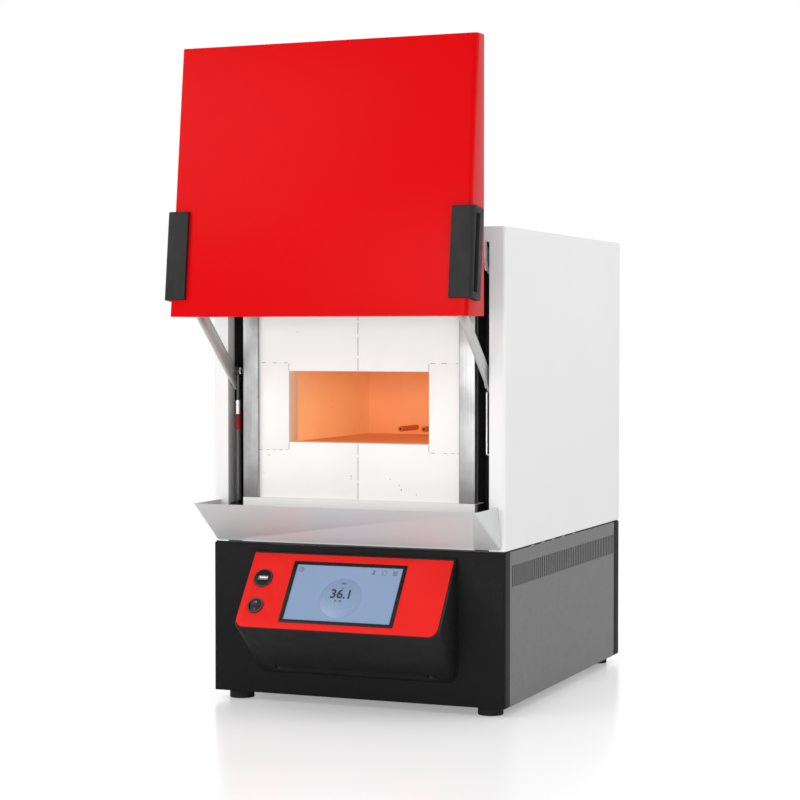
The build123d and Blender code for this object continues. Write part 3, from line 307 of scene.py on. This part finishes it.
def painted_glow_fibre(name, colour, glow, low, high):
    """Chamber lining with a painted glow for the orange light in the chamber: it changes with the distance
    behind the front, and fades as painted shade under the roof.
    """
    shade = (colour[0] * 0.94, colour[1] * 0.9, colour[2] * 0.86)
    wool = fibre(name, colour, shade, CHAMBER_SPECK, glow)
    depth = wool.sum_of(wool.axis("Y"), -CASE_FRONT)
    strength = wool.spread(depth, GLOW_START, GLOW_END, low, high)
    cloud = wool.spread(wool.noise(16.0, 3.0), 0.3, 0.7, 0.93, 1.07)
    crown = wool.spread(wool.axis("Z"), CHAMBER_ROOF - CROWN_DEPTH, CHAMBER_ROOF, 1.0, CROWN_SHADE)
    clouded = wool.sum_of(strength, cloud, "MULTIPLY")
    wool.link(wool.sum_of(clouded, crown, "MULTIPLY"), wool.surface.inputs["Emission Strength"])
    return wool.material


# From the outer edge of the front boards in to where the painted glow of the chamber mouth begins
MOUTH_MARGIN = 48.0 * MM
MOUTH_BLEND = 5.0 * MM
MOUTH_PAINTED_LIGHT = (0.74, 0.64, 0.54)
MOUTH_GLOW = 0.16


def mouth_fibre():
    """Fibre front: white outside, and inside the chamber mouth a warmer tint and a faint glow, both painted
    light from the chamber.
    """
    wool = fibre("mouth_fibre", FIBRE_WHITE, FIBRE_SHADE, FIBRE_SPECK, (1.0, 0.5, 0.24))
    depth = wool.sum_of(wool.axis("Y"), -CASE_FRONT)
    behind = wool.spread(depth, FRONT_DEPTH + 0.3 * MM, FRONT_DEPTH + 3.0 * MM)
    outward = wool.node("ShaderNodeMath", operation="ABSOLUTE")
    wool.link(wool.axis("X"), outward.inputs[0])
    mouth_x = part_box("front_board_upper_right")[1][0] - MOUTH_MARGIN
    within = wool.spread(outward.outputs["Value"], mouth_x, mouth_x + MOUTH_BLEND, 1.0, 0.0)
    inside = wool.sum_of(behind, within, "MULTIPLY")
    plain = wool.surface.inputs["Base Color"].links[0].from_socket
    # Painted light: the mouth is tinted warmer and given a faint glow, for light coming from the chamber.
    wool.tint(inside, MOUTH_PAINTED_LIGHT, plain)
    wool.link(wool.sum_of(inside, MOUTH_GLOW, "MULTIPLY"), wool.surface.inputs["Emission Strength"])
    return wool.material


mouth = mouth_fibre()
# Walls, back and floor are one fibre lining; their lighter and darker copies here are painted light, and they
# and the sheaths carry a painted glow.
wall_fibre = painted_glow_fibre("painted_glow_wall_fibre", (0.66, 0.45, 0.28), (1.0, 0.4, 0.14), 0.5, 0.3)
back_fibre = painted_glow_fibre("painted_glow_back_fibre", (0.6, 0.36, 0.2), (1.0, 0.27, 0.08), 0.38, 0.38)
floor_fibre = painted_glow_fibre("painted_glow_floor_fibre", (0.56, 0.29, 0.15), (1.0, 0.24, 0.07), 0.22, 0.26)
sheath = painted_glow_fibre("painted_glow_sheath", (0.5, 0.2, 0.08), (1.0, 0.14, 0.02), 0.05, 0.12)

# Lit screen, a little brighter towards its top
glass = Shader("screen_glass", (0.19, 0.27, 0.42), 0.12, Specular_IOR_Level=0.3)
screen_low, screen_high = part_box("display_screen")
sheen_up = glass.spread(glass.axis("Z"), screen_low[2], screen_high[2], 0.0, 1.0)
sheen_cloud = glass.spread(glass.noise(8.0, 2.0), 0.2, 0.8, 0.6, 1.0)
glass.tint(glass.sum_of(sheen_up, sheen_cloud, "MULTIPLY"), (0.23, 0.31, 0.45))
glass.surface.inputs["Emission Color"].default_value = (0.27, 0.40, 0.64, 1.0)
glass.surface.inputs["Emission Strength"].default_value = 0.12
screen_glass = glass.material


def plain_detail(name, colour, roughness, emission=0.0):
    """Printed or moulded small detail, with a faint mottle."""
    ink = Shader(name, colour, roughness)
    ink.tint(ink.spread(ink.noise(600.0, 2.0), 0.4, 0.8), tuple(0.85 * value for value in colour))
    if emission:
        ink.surface.inputs["Emission Color"].default_value = (*colour, 1.0)
        ink.surface.inputs["Emission Strength"].default_value = emission
    return ink.material


screen_disc = plain_detail("screen_disc", (0.2, 0.285, 0.43), 0.25, 0.11)
screen_ring = plain_detail("screen_ring", (0.16, 0.24, 0.42), 0.15, 0.2)
screen_ink = plain_detail("screen_ink", (0.012, 0.014, 0.02), 0.3)
mark_ink = plain_detail("rocker_mark_grey", (0.3, 0.3, 0.3), 0.6)
rim_plastic = plain_detail("rim_plastic", (0.03, 0.03, 0.031), 0.35)
socket_tongue = plain_detail("socket_tongue_plastic", (0.75, 0.75, 0.74), 0.4)
# Painted shade: the dark colour inside the sheath bores.
bore_painted_shade = plain_detail("sheath_bore", (0.05, 0.004, 0.001), 0.8)
board_green = plain_detail("circuit_board_green", (0.01, 0.09, 0.03), 0.4)

FINISH_OF = {
    black_paint: ("base_front_panel", "base_rear_panel", "base_floor"),
    black_side_painted_sheen: ("base_side_left", "base_side_right"),
    white_paint: ("case_wrapper", "case_rear_panel", "lower_header"),
    spill_lip_shaded_white: ("spill_lip",),
    door_paint: ("door_shell",),
    fascia_film: ("control_fascia",),
    dark_finish_and_gap_shade: ("deck_plate", "slot_liners", "pivot_plates", "strut_bracket"),
    housing_moulding: ("control_housing",),
    handle_moulding: ("handle_left", "handle_right", "housing_screws"),
    rubber: ("rubber_feet",),
    gloss_plastic: ("display_bezel", "data_socket"),
    switch_plastic: ("switch_body", "power_rocker"),
    gland_plastic: ("cable_gland",),
    collar_plastic: ("strut_collar",),
    stainless: ("front_guards",),
    pan_steel: ("door_back_pan",),
    arm_steel: ("lower_arms", "upper_arms", "door_brackets"),
    zinc: (
        "arm_pivot_studs", "door_pivot_studs", "strut_stud", "strut_neck", "strut_pin", "heel_feeler",
    ),
    strut_paint: ("strut_tube", "strut_rod"),
    wire_metal: ("heating_elements",),
    front_fibre: ("door_plug",),
    mouth: (
        "front_board_upper_left", "front_board_upper_right", "front_board_lower_left",
        "front_board_lower_right", "front_blocks",
    ),
    backing_fibre: (
        "insulation_lower", "insulation_upper", "insulation_sides", "insulation_rear", "door_insulation",
    ),
    wall_fibre: ("chamber_walls",),
    back_fibre: ("chamber_back", "chamber_roof"),
    floor_fibre: ("chamber_floor",),
    sheath: ("thermocouples",),
    screen_glass: ("display_screen",),
    board_green: ("controller_board",),
}
SLOT_OF = {row["node"]: row["material_slot"] for row in frame["record"]["subparts"]}
for finish, names in FINISH_OF.items():
    for name in names:
        data = nodes[name].data
        data.materials.clear()
        data.materials.append(finish)


# Mesh helpers
SMOOTH_ANGLE = math.radians(35.0)
BEVEL_ANGLE = math.radians(30.0)
BEVEL_SEGMENTS = 2
FLAT_ANGLE = math.radians(1.0)
MERGE_DISTANCE = 1e-6


def piece_from(name, mesh, finish, body):
    """Finished object at the origin, shaded smooth between its sharp edges, that rides on a body."""
    for polygon in mesh.polygons:
        polygon.use_smooth = True
    mesh.set_sharp_from_angle(angle=SMOOTH_ANGLE)
    mesh.materials.clear()
    mesh.materials.append(finish)
    made = bpy.data.objects.new(name, mesh)
    bpy.context.collection.objects.link(made)
    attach(made, body)
    return made


def body_of_node(node):
    """Body that a CAD node belongs to."""
    return next(body for body, names in frame["record"]["behaviour"]["bodies"].items() if node in names)


def soften(node, width):
    """Stand a copy with rounded edges in the place of a sharp-edged CAD node."""
    source = nodes[node]
    work = bmesh.new()
    work.from_mesh(source.data)
    bmesh.ops.remove_doubles(work, verts=work.verts, dist=MERGE_DISTANCE)
    bmesh.ops.dissolve_limit(work, angle_limit=FLAT_ANGLE, verts=work.verts, edges=work.edges)
    mesh = bpy.data.meshes.new(node + "_soft")
    work.to_mesh(mesh)
    work.free()
    rough_piece = bpy.data.objects.new(node + "_work", mesh)
    bpy.context.collection.objects.link(rough_piece)
    bevel = rough_piece.modifiers.new("edge", "BEVEL")
    bevel.width = width
    bevel.segments = BEVEL_SEGMENTS
    bevel.limit_method = "ANGLE"
    bevel.angle_limit = BEVEL_ANGLE
    bevel.use_clamp_overlap = True
    view = rough_piece.evaluated_get(bpy.context.evaluated_depsgraph_get())
    result = bpy.data.meshes.new_from_object(view)
    bpy.data.objects.remove(rough_piece)
    made = piece_from(node + "_edged", result, source.data.materials[0], body_of_node(node))
    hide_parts(node)
    return made


# Width of the rounded edges of each node, in metres
EDGE_OF = {
    0.0006: (
        "front_board_upper_left", "front_board_upper_right", "front_board_lower_left",
        "front_board_lower_right", "front_blocks", "control_housing", "handle_left", "handle_right",
    ),
    0.0012: ("door_plug",),
    0.0003: (
        "spill_lip", "control_fascia", "display_bezel", "door_shell", "door_back_pan", "deck_plate",
        "base_front_panel", "base_rear_panel", "lower_header", "data_socket", "power_rocker", "rubber_feet",
        "cable_gland",
    ),
    0.0002: ("front_guards", "lower_arms", "upper_arms", "case_rear_panel", "door_brackets", "pivot_plates"),
}
for width, names in EDGE_OF.items():
    for name in names:
        soften(name, width)


# Drawing helpers
def add_bar(work, matrix, x, y, width, height, thick):
    """Thin bar with its middle at a place of the flat drawing."""
    shape = Matrix.Translation((x, y, thick / 2)) @ Matrix.Diagonal((width, height, thick, 1.0))
    bmesh.ops.create_cube(work, size=1.0, matrix=matrix @ shape)


def add_ring(work, matrix, outer, inner, thick, sides=48):
    """Flat ring with a closed section."""
    loops = []
    for radius, z in ((outer, 0.0), (outer, thick), (inner, thick), (inner, 0.0)):
        angles = [2 * math.pi * step / sides for step in range(sides)]
        points = [Vector((radius * math.cos(angle), radius * math.sin(angle), z)) for angle in angles]
        loops.append([work.verts.new(matrix @ point) for point in points])
    for first, second in zip(loops, loops[1:] + loops[:1]):
        for step in range(sides):
            after = (step + 1) % sides
            work.faces.new((first[step], first[after], second[after], second[step]))


def drawn(name, draw, finish, body):
    """Piece whose mesh is drawn by a function."""
    work = bmesh.new()
    draw(work)
    bmesh.ops.recalc_face_normals(work, faces=work.faces)
    mesh = bpy.data.meshes.new(name)
    work.to_mesh(mesh)
    work.free()
    return piece_from(name, mesh, finish, body)


# Joints between the front boards and the side blocks, drawn as painted shadow, and pits in their faces, drawn
# as painted shade
board_low, board_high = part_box("front_board_upper_right")
lower_board_low, lower_board_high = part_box("front_board_lower_right")
# Painted shadow: dark bars in the joints and along the side blocks stand for the shade in the gaps.
joint_painted_shadow = plain_detail("joint_shadow", (0.05, 0.047, 0.045), 0.9)
# Painted shade: small dark discs on the boards stand for the shade in pits.
pit_painted_shade = plain_detail("fibre_pit", (0.12, 0.11, 0.1), 0.9)
red_dot = plain_detail("red_dot", (0.5, 0.01, 0.01), 0.6)
PIT_SEED = 11
PIT_COUNT = 14
PIT_MARGIN = 4.0 * MM
BLOCK_MARGIN = 12.0 * MM
JOINT_MARGIN = 53.0 * MM
JOINT_SINK = 0.55 * MM
JOINT_THICK = 0.45 * MM
JOINT_WIDTH = 0.6 * MM
STEP_WIDTH = 0.5 * MM
STEP_HALF = 5.0 * MM
STEP_LENGTH = 8.0 * MM
SPECK_X = 57.0 * MM
SPECK_RISE = 14.0 * MM
SPECK_RADIUS = 0.9 * MM


def draw_joint(work):
    """Middle joint in broken lengths, then the steps and edges of the side blocks."""
    facing = Matrix.Rotation(math.pi / 2, 4, "X")
    facing.translation = (0.0, board_low[1] + JOINT_SINK, 0.0)
    chance = random.Random(PIT_SEED)
    for low, high in ((lower_board_low[2], lower_board_high[2]), (board_low[2], board_high[2])):
        start = low + 1.0 * MM
        while start < high - 4.0 * MM:
            length = min(chance.uniform(12.0, 30.0) * MM, high - 1.0 * MM - start)
            add_bar(work, facing, 0.0, start + length / 2, JOINT_WIDTH, length, JOINT_THICK)
            start += length + chance.uniform(1.5, 4.0) * MM
    block_low, block_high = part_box("front_blocks")
    mouth_x = board_high[0] - JOINT_MARGIN
    for side in (-1, 1):
        for z in (block_low[2] + STEP_HALF, block_high[2] - STEP_HALF):
            add_bar(work, facing, side * mouth_x, z, STEP_WIDTH, STEP_LENGTH, JOINT_THICK)
        for z in (block_low[2], block_high[2]):
            start = mouth_x + 2.0 * MM
            while start < board_high[0] - 8.0 * MM:
                length = chance.uniform(2.0, 7.0) * MM
                add_bar(work, facing, side * (start + length / 2), z, length, JOINT_THICK, JOINT_THICK)
                start += length + chance.uniform(4.0, 14.0) * MM


def draw_pit(work, x, z, radius):
    """Thin nine-sided disc on the face of a front board, for a pit's painted shade and for the red speck."""
    facing = Matrix.Rotation(math.pi / 2, 4, "X")
    facing.translation = (x, board_low[1] - 0.02 * MM, z)
    bmesh.ops.create_cone(
        work, cap_ends=True, segments=9, radius1=radius, radius2=0.7 * radius, depth=0.1 * MM, matrix=facing
    )


def draw_pits(work):
    chance = random.Random(PIT_SEED)
    for pit in range(PIT_COUNT):
        x = chance.uniform(-board_high[0], board_high[0]) * 0.9
        low, high = board_low[2] + BLOCK_MARGIN, board_high[2]
        if pit % 2:
            low, high = lower_board_low[2], lower_board_high[2] - BLOCK_MARGIN
        z = chance.uniform(low + PIT_MARGIN, high - PIT_MARGIN)
        draw_pit(work, x, z, chance.uniform(0.5, 0.8) * MM)


def draw_speck(work):
    draw_pit(work, SPECK_X, lower_board_low[2] + SPECK_RISE, SPECK_RADIUS)


drawn("board_joint", draw_joint, joint_painted_shadow, "furnace")
drawn("fibre_pits", draw_pits, pit_painted_shade, "furnace")
drawn("red_speck", draw_speck, red_dot, "furnace")

# Sloping face of the control housing
SLOPE = math.radians(36.0)
FACE_NORMAL = Vector((0.0, -math.cos(SLOPE), math.sin(SLOPE)))
FACE_UP = Vector((0.0, math.sin(SLOPE), math.cos(SLOPE)))
FACE_AHEAD = 8.0 * MM
FACE_DROP = 10.0 * MM
FACE_TOP = Vector((0.0, CASE_FRONT - FACE_AHEAD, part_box("base_front_panel")[1][2] - FACE_DROP))
SCREEN_RECESS = 0.6 * MM
COLUMN_X = (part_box("data_socket")[0][0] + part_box("data_socket")[1][0]) / 2


def placed(origin, up, normal):
    """Matrix that lays a flat shape on a face, with its Y along the face's up direction."""
    across = up.cross(normal)
    matrix = Matrix((across, up, normal)).transposed().to_4x4()
    matrix.translation = origin
    return matrix


def on_face(x, down, lift=0.0):
    """Place on the sloping face, so far down it from its top edge."""
    origin = Vector((x, 0.0, 0.0)) + FACE_TOP - FACE_UP * down + FACE_NORMAL * lift
    return placed(origin, FACE_UP, FACE_NORMAL)


TEXT_THICK = 0.08 * MM


def lettered(name, text, size, matrix, finish, body, weight):
    """Text as a thin mesh on a face."""
    curve = bpy.data.curves.new(name, "FONT")
    curve.body = text
    curve.size = size
    curve.align_x = "CENTER"
    curve.align_y = "CENTER"
    curve.extrude = TEXT_THICK / 2
    curve.offset = weight
    source = bpy.data.objects.new(name + "_text", curve)
    bpy.context.collection.objects.link(source)
    view = source.evaluated_get(bpy.context.evaluated_depsgraph_get())
    mesh = bpy.data.meshes.new_from_object(view)
    bpy.data.objects.remove(source)
    mesh.transform(matrix @ Matrix.Translation((0.0, 0.0, TEXT_THICK / 2)))
    return piece_from(name, mesh, finish, body)


# Picture on the touch screen
SCREEN_LIFT = 0.02 * MM - SCREEN_RECESS
DIAL_DOWN = 58.5 * MM
DIAL_X = -2.0 * MM
DIAL_RADIUS = 26.5 * MM
DIAL_BEVEL = 0.1 * MM
DIAL_SIDES = 96
RING_RADIUS = 27.2 * MM
READING_DOWN = 53.0 * MM
READING_SIZE = 17.0 * MM
READING_WEIGHT = 0.36 * MM
ICON_DOWN = 21.0 * MM
ICON_THICK = 0.06 * MM
CLOCK_X = -63.0 * MM
GAUGE_X = 32.7 * MM
DOTTED_X = 46.6 * MM
LINES_X = 60.9 * MM
ICON_PITCH = 1.7 * MM


def draw_dial(work):
    matrix = on_face(DIAL_X, DIAL_DOWN, SCREEN_LIFT) @ Matrix.Translation((0.0, 0.0, 0.02 * MM))
    bmesh.ops.create_cone(
        work, cap_ends=True, segments=DIAL_SIDES, radius1=DIAL_RADIUS, radius2=DIAL_RADIUS - DIAL_BEVEL,
        depth=0.04 * MM, matrix=matrix,
    )


def draw_dial_ring(work):
    add_ring(work, on_face(DIAL_X, DIAL_DOWN, SCREEN_LIFT), RING_RADIUS, DIAL_RADIUS, 0.06 * MM, DIAL_SIDES)


def draw_icons(work):
    """Plain icons: a clock, a gauge, a dotted square, lines, and small marks round the reading."""
    thick = ICON_THICK
    clock = on_face(CLOCK_X, ICON_DOWN, SCREEN_LIFT)
    add_ring(work, clock, 3.0 * MM, 2.5 * MM, thick, 32)
    add_bar(work, clock, 0.0, 0.9 * MM, 0.4 * MM, 1.8 * MM, thick)
    add_bar(work, clock, 0.8 * MM, 0.0, 1.6 * MM, 0.4 * MM, thick)
    gauge = on_face(GAUGE_X, ICON_DOWN, SCREEN_LIFT)
    add_ring(work, gauge @ Matrix.Translation((0.0, -1.8 * MM, 0.0)), 1.4 * MM, 0.6 * MM, thick, 24)
    add_bar(work, gauge, 0.0, 1.2 * MM, 0.9 * MM, 4.0 * MM, thick)
    for step in range(3):
        add_bar(work, gauge, 1.6 * MM, step * 1.2 * MM, 1.0 * MM, 0.35 * MM, thick)
    dotted = on_face(DOTTED_X, ICON_DOWN, SCREEN_LIFT)
    for column in range(4):
        for line in range(4):
            if column in (0, 3) or line in (0, 3):
                x, y = (column - 1.5) * ICON_PITCH, (line - 1.5) * ICON_PITCH
                add_bar(work, dotted, x, y, 0.8 * MM, 0.8 * MM, thick)
    lines = on_face(LINES_X, ICON_DOWN, SCREEN_LIFT)
    for line in range(4):
        add_bar(work, lines, 0.0, (line - 1.5) * ICON_PITCH, 6.0 * MM, 0.6 * MM, thick)
    marks = on_face(DIAL_X, DIAL_DOWN, SCREEN_LIFT + 0.06 * MM)
    for column in range(3):
        add_bar(work, marks, (column - 1) * 1.9 * MM, 20.5 * MM, 1.2 * MM, 1.6 * MM, thick)
    add_bar(work, marks, 0.0, 14.0 * MM, 1.6 * MM, 1.2 * MM, thick)
    add_bar(work, marks, -6.0 * MM, -3.5 * MM, 1.0 * MM, 3.0 * MM, thick)
    add_bar(work, marks, -4.6 * MM, -2.4 * MM, 1.4 * MM, 0.8 * MM, thick)
    add_ring(work, marks @ Matrix.Translation((0.6 * MM, -3.6 * MM, 0.0)), 1.5 * MM, 0.8 * MM, thick, 20)


drawn("screen_dial", draw_dial, screen_disc, "furnace")
drawn("screen_dial_ring", draw_dial_ring, screen_ring, "furnace")
drawn("screen_icons", draw_icons, screen_ink, "furnace")
lettered(
    "screen_reading", "36.1", READING_SIZE, on_face(DIAL_X, READING_DOWN, SCREEN_LIFT + 0.06 * MM),
    screen_ink, "furnace", READING_WEIGHT,
)

# Data socket and power switch
SOCKET_DOWN = 36.0 * MM
SOCKET_RIM_OUTER = 12.0 * MM
SOCKET_RIM_INNER = 10.9 * MM
SWITCH_DOWN = 74.5 * MM
SWITCH_RIM_OUTER = 10.1 * MM
SWITCH_RIM_INNER = 8.4 * MM
RIM_THICK = 0.12 * MM
RIM_SIDES = 64


def draw_socket_rim(work):
    matrix = on_face(COLUMN_X, SOCKET_DOWN, 1.0 * MM)
    add_ring(work, matrix, SOCKET_RIM_OUTER, SOCKET_RIM_INNER, RIM_THICK, RIM_SIDES)


def draw_socket_shell(work):
    """Metal mouth of the data socket."""
    matrix = on_face(COLUMN_X, SOCKET_DOWN, 0.2 * MM)
    width, height, wall, deep = 12.6 * MM, 5.0 * MM, 0.35 * MM, 0.9 * MM
    for sign in (-1, 1):
        add_bar(work, matrix, 0.0, sign * (height - wall) / 2, width, wall, deep)
        add_bar(work, matrix, sign * (width - wall) / 2, 0.0, wall, height - 2 * wall, deep)


def draw_socket_tongue(work):
    """Pale tongue in the mouth, with four raised contacts under it."""
    matrix = on_face(COLUMN_X, SOCKET_DOWN, -0.6 * MM)
    add_bar(work, matrix, 0.0, 1.0 * MM, 10.8 * MM, 2.2 * MM, 0.8 * MM)
    for contact in range(4):
        add_bar(work, matrix, (contact - 1.5) * 2.4 * MM, -0.35 * MM, 1.2 * MM, 0.5 * MM, 0.7 * MM)


def draw_switch_rim(work):
    matrix = on_face(COLUMN_X, SWITCH_DOWN, 1.4 * MM)
    add_ring(work, matrix, SWITCH_RIM_OUTER, SWITCH_RIM_INNER, RIM_THICK, RIM_SIDES)


drawn("socket_rim", draw_socket_rim, rim_plastic, "furnace")
drawn("socket_shell", draw_socket_shell, zinc, "furnace")
drawn("socket_tongue", draw_socket_tongue, socket_tongue, "furnace")
drawn("switch_rim", draw_switch_rim, rim_plastic, "furnace")

ROCKER_TILT = math.radians(26.0)
ROCKER_FLANK = math.radians(10.0)
ROCKER_MARK = 4.4 * MM
ROCKER_VALLEY = 0.3 * MM
ROCKER_MARK_SIZE = 3.6 * MM
ROCKER_MARK_WEIGHT = 0.06 * MM
rocker_up = Vector((0.0, math.sin(ROCKER_TILT), math.cos(ROCKER_TILT)))
rocker_out = Vector((0.0, -math.cos(ROCKER_TILT), math.sin(ROCKER_TILT)))
rocker_rise = ROCKER_VALLEY + ROCKER_MARK * math.tan(ROCKER_FLANK)
rocker_middle = on_face(COLUMN_X, SWITCH_DOWN, -0.5 * MM).translation
for sign, mark in ((1, "O"), (-1, "I")):
    spot = rocker_middle + rocker_up * sign * ROCKER_MARK + rocker_out * rocker_rise
    normal = rocker_out * math.cos(ROCKER_FLANK) - rocker_up * sign * math.sin(ROCKER_FLANK)
    upward = rocker_up * math.cos(ROCKER_FLANK) + rocker_out * sign * math.sin(ROCKER_FLANK)
    lettered(
        f"rocker_mark_{mark}", mark, ROCKER_MARK_SIZE, placed(spot, upward, normal), mark_ink, "rocker",
        ROCKER_MARK_WEIGHT,
    )


# Rows of round heads and rings, by Geometry Nodes
def row_tree(name, sides, turn, finish):
    """Node group that stands copies of a tapered round head along a line."""
    tree = bpy.data.node_groups.new(name, "GeometryNodeTree")
    inputs = (
        ("Count", "NodeSocketInt"), ("Start", "NodeSocketVector"), ("Step", "NodeSocketVector"),
        ("Radius", "NodeSocketFloat"), ("Crown", "NodeSocketFloat"), ("Height", "NodeSocketFloat"),
    )
    for label, kind in inputs:
        tree.interface.new_socket(name=label, in_out="INPUT", socket_type=kind)
    tree.interface.new_socket(name="Geometry", in_out="OUTPUT", socket_type="NodeSocketGeometry")
    given = tree.nodes.new("NodeGroupInput")
    line = tree.nodes.new("GeometryNodeMeshLine")
    head = tree.nodes.new("GeometryNodeMeshCone")
    head.inputs["Vertices"].default_value = sides
    turned = tree.nodes.new("GeometryNodeTransform")
    turned.inputs["Rotation"].default_value = turn
    copies = tree.nodes.new("GeometryNodeInstanceOnPoints")
    real = tree.nodes.new("GeometryNodeRealizeInstances")
    coat = tree.nodes.new("GeometryNodeSetMaterial")
    coat.inputs["Material"].default_value = finish
    result = tree.nodes.new("NodeGroupOutput")
    wires = (
        (given.outputs["Count"], line.inputs["Count"]),
        (given.outputs["Start"], line.inputs["Start Location"]),
        (given.outputs["Step"], line.inputs["Offset"]),
        (given.outputs["Radius"], head.inputs["Radius Bottom"]),
        (given.outputs["Crown"], head.inputs["Radius Top"]),
        (given.outputs["Height"], head.inputs["Depth"]),
        (head.outputs["Mesh"], turned.inputs["Geometry"]),
        (line.outputs["Mesh"], copies.inputs["Points"]),
        (turned.outputs["Geometry"], copies.inputs["Instance"]),
        (copies.outputs["Instances"], real.inputs["Geometry"]),
        (real.outputs["Geometry"], coat.inputs["Geometry"]),
        (coat.outputs["Geometry"], result.inputs["Geometry"]),
    )
    for source, target in wires:
        tree.links.new(source, target)
    return tree


def row_of(name, tree, body, slot, finish, **values):
    """Mesh of one row, made by the node group and kept without its modifier."""
    holder = bpy.data.objects.new(name + "_row", bpy.data.meshes.new(name + "_row"))
    bpy.context.collection.objects.link(holder)
    modifier = holder.modifiers.new("row", "NODES")
    modifier.node_group = tree
    for socket in tree.interface.items_tree:
        if socket.in_out == "INPUT":
            modifier[socket.identifier] = values[socket.name.lower()]
    view = holder.evaluated_get(bpy.context.evaluated_depsgraph_get())
    mesh = bpy.data.meshes.new_from_object(view)
    holder.modifiers.clear()
    bpy.data.objects.remove(holder)
    return piece_from(name, mesh, finish, body)


# Dark discs in the tips of the thermocouple sheaths, painted shade in their bores
PROBE_X = (-25.0 * MM, 8.0 * MM)
BORE_RADIUS = 1.5 * MM
BORE_FLOOR = 1.3 * MM
BORE_DEPTH = 0.4 * MM
probe_low, probe_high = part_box("thermocouples")


def draw_bores(work):
    for x in PROBE_X:
        facing = Matrix.Rotation(math.pi / 2, 4, "X")
        facing.translation = (x, probe_low[1] + BORE_DEPTH, (probe_low[2] + probe_high[2]) / 2)
        bmesh.ops.create_cone(
            work, cap_ends=True, segments=24, radius1=BORE_RADIUS, radius2=BORE_FLOOR, depth=BORE_DEPTH,
            matrix=facing,
        )


drawn("sheath_bores", draw_bores, bore_painted_shade, "furnace")

# Screws at the edges of the back
BACK_TURN = (-math.pi / 2, 0.0, 0.0)
rear_low, rear_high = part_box("case_rear_panel")
SCREW_INSET = 6.0 * MM
SCREW_ROWS = 4
screw_rows = row_tree("screw_row", 28, BACK_TURN, zinc)
screw_step = (rear_high[2] - rear_low[2] - 4 * SCREW_INSET) / (SCREW_ROWS - 1)
for side, x in (("left", rear_low[0] + SCREW_INSET), ("right", rear_high[0] - SCREW_INSET)):
    row_of(
        f"rear_screws_{side}", screw_rows, "furnace", SLOT_OF["case_rear_panel"], zinc, count=SCREW_ROWS,
        start=(x, rear_high[1], rear_low[2] + 2 * SCREW_INSET), step=(0.0, 0.0, screw_step),
        radius=4.0 * MM, crown=3.0 * MM, height=2.2 * MM,
    )

# Rings on the neck of the gas strut
neck_low, neck_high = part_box("strut_neck")
neck_middle = ((neck_low[0] + neck_high[0]) / 2, (neck_low[1] + neck_high[1]) / 2)
RING_COUNT = 8
ring_step = (neck_high[2] - neck_low[2]) / RING_COUNT
ring_rows = row_tree("ring_row", 32, (0.0, 0.0, 0.0), zinc)
row_of(
    "strut_neck_rings", ring_rows, "tube_pair", SLOT_OF["strut_neck"], zinc, count=RING_COUNT,
    start=(*neck_middle, neck_low[2] + 0.1 * MM), step=(0.0, 0.0, ring_step),
    radius=3.4 * MM, crown=3.1 * MM, height=ring_step * 0.6,
)

# Floor, backdrop and light
stage_paint = Shader("studio_white", (0.9, 0.9, 0.9), 0.24, Specular_IOR_Level=0.8)
stage_paint.tint(stage_paint.spread(stage_paint.noise(1.5, 2.0), 0.3, 0.7), (0.89, 0.89, 0.89))
FLOOR_GLOW = 0.3
rays = stage_paint.node("ShaderNodeLightPath")
stage_paint.surface.inputs["Emission Color"].default_value = (1.0, 1.0, 1.0, 1.0)
stage_paint.link(
    stage_paint.sum_of(rays.outputs["Is Camera Ray"], FLOOR_GLOW, "MULTIPLY"),
    stage_paint.surface.inputs["Emission Strength"],
)
FLOOR_REACH = 9
floor_corners = [(x * FLOOR_REACH, y * FLOOR_REACH, 0) for x, y in ((-1, -1), (1, -1), (1, 1), (-1, 1))]
floor_mesh = bpy.data.meshes.new("studio_floor")
floor_mesh.from_pydata(floor_corners, [], [(0, 1, 2, 3)])
floor_mesh.materials.append(stage_paint.material)
floor = bpy.data.objects.new("studio_floor", floor_mesh)
bpy.context.collection.objects.link(floor)


def soft_lamp(name, place, target, width, height, power):
    """Large area lamp that looks at a point."""
    data = bpy.data.lights.new(name, "AREA")
    data.shape = "RECTANGLE"
    data.size = width
    data.size_y = height
    data.energy = power
    lamp = bpy.data.objects.new(name, data)
    bpy.context.collection.objects.link(lamp)
    lamp.location = place
    lamp.rotation_euler = (Vector(target) - Vector(place)).to_track_quat("-Z", "Y").to_euler()
    return lamp


soft_lamp("key_left", (-2.2, -2.6, 1.8), (0.0, 0.0, 0.35), 2.0, 2.0, 33.0)
soft_lamp("fill_right", (2.8, 0.6, 1.3), (0.0, 0.1, 0.25), 1.6, 2.2, 27.0)
soft_lamp("front_low", (0.3, -3.0, 0.45), (0.0, 0.0, 0.3), 2.4, 0.8, 30.0)
soft_lamp("top", (0.0, -0.2, 2.6), (0.0, 0.0, 0.4), 2.0, 2.0, 10.0)

WORLD_LIGHT = 0.55
WORLD_SEEN = 1.0
world = bpy.data.worlds.new("studio")
bpy.context.scene.world = world
world.use_nodes = True
world_tree = world.node_tree
sky = world_tree.nodes["Background"]
sky.inputs["Color"].default_value = (1.0, 1.0, 1.0, 1.0)
ray = world_tree.nodes.new("ShaderNodeLightPath")
seen = world_tree.nodes.new("ShaderNodeMath")
seen.operation = "MAXIMUM"
world_tree.links.new(ray.outputs["Is Camera Ray"], seen.inputs[0])
world_tree.links.new(ray.outputs["Is Glossy Ray"], seen.inputs[1])
level = world_tree.nodes.new("ShaderNodeMapRange")
level.inputs["To Min"].default_value = WORLD_LIGHT
level.inputs["To Max"].default_value = WORLD_SEEN
world_tree.links.new(seen.outputs["Value"], level.inputs["Value"])
world_tree.links.new(level.outputs["Result"], sky.inputs["Strength"])
bpy.context.scene.view_settings.view_transform = "Standard"
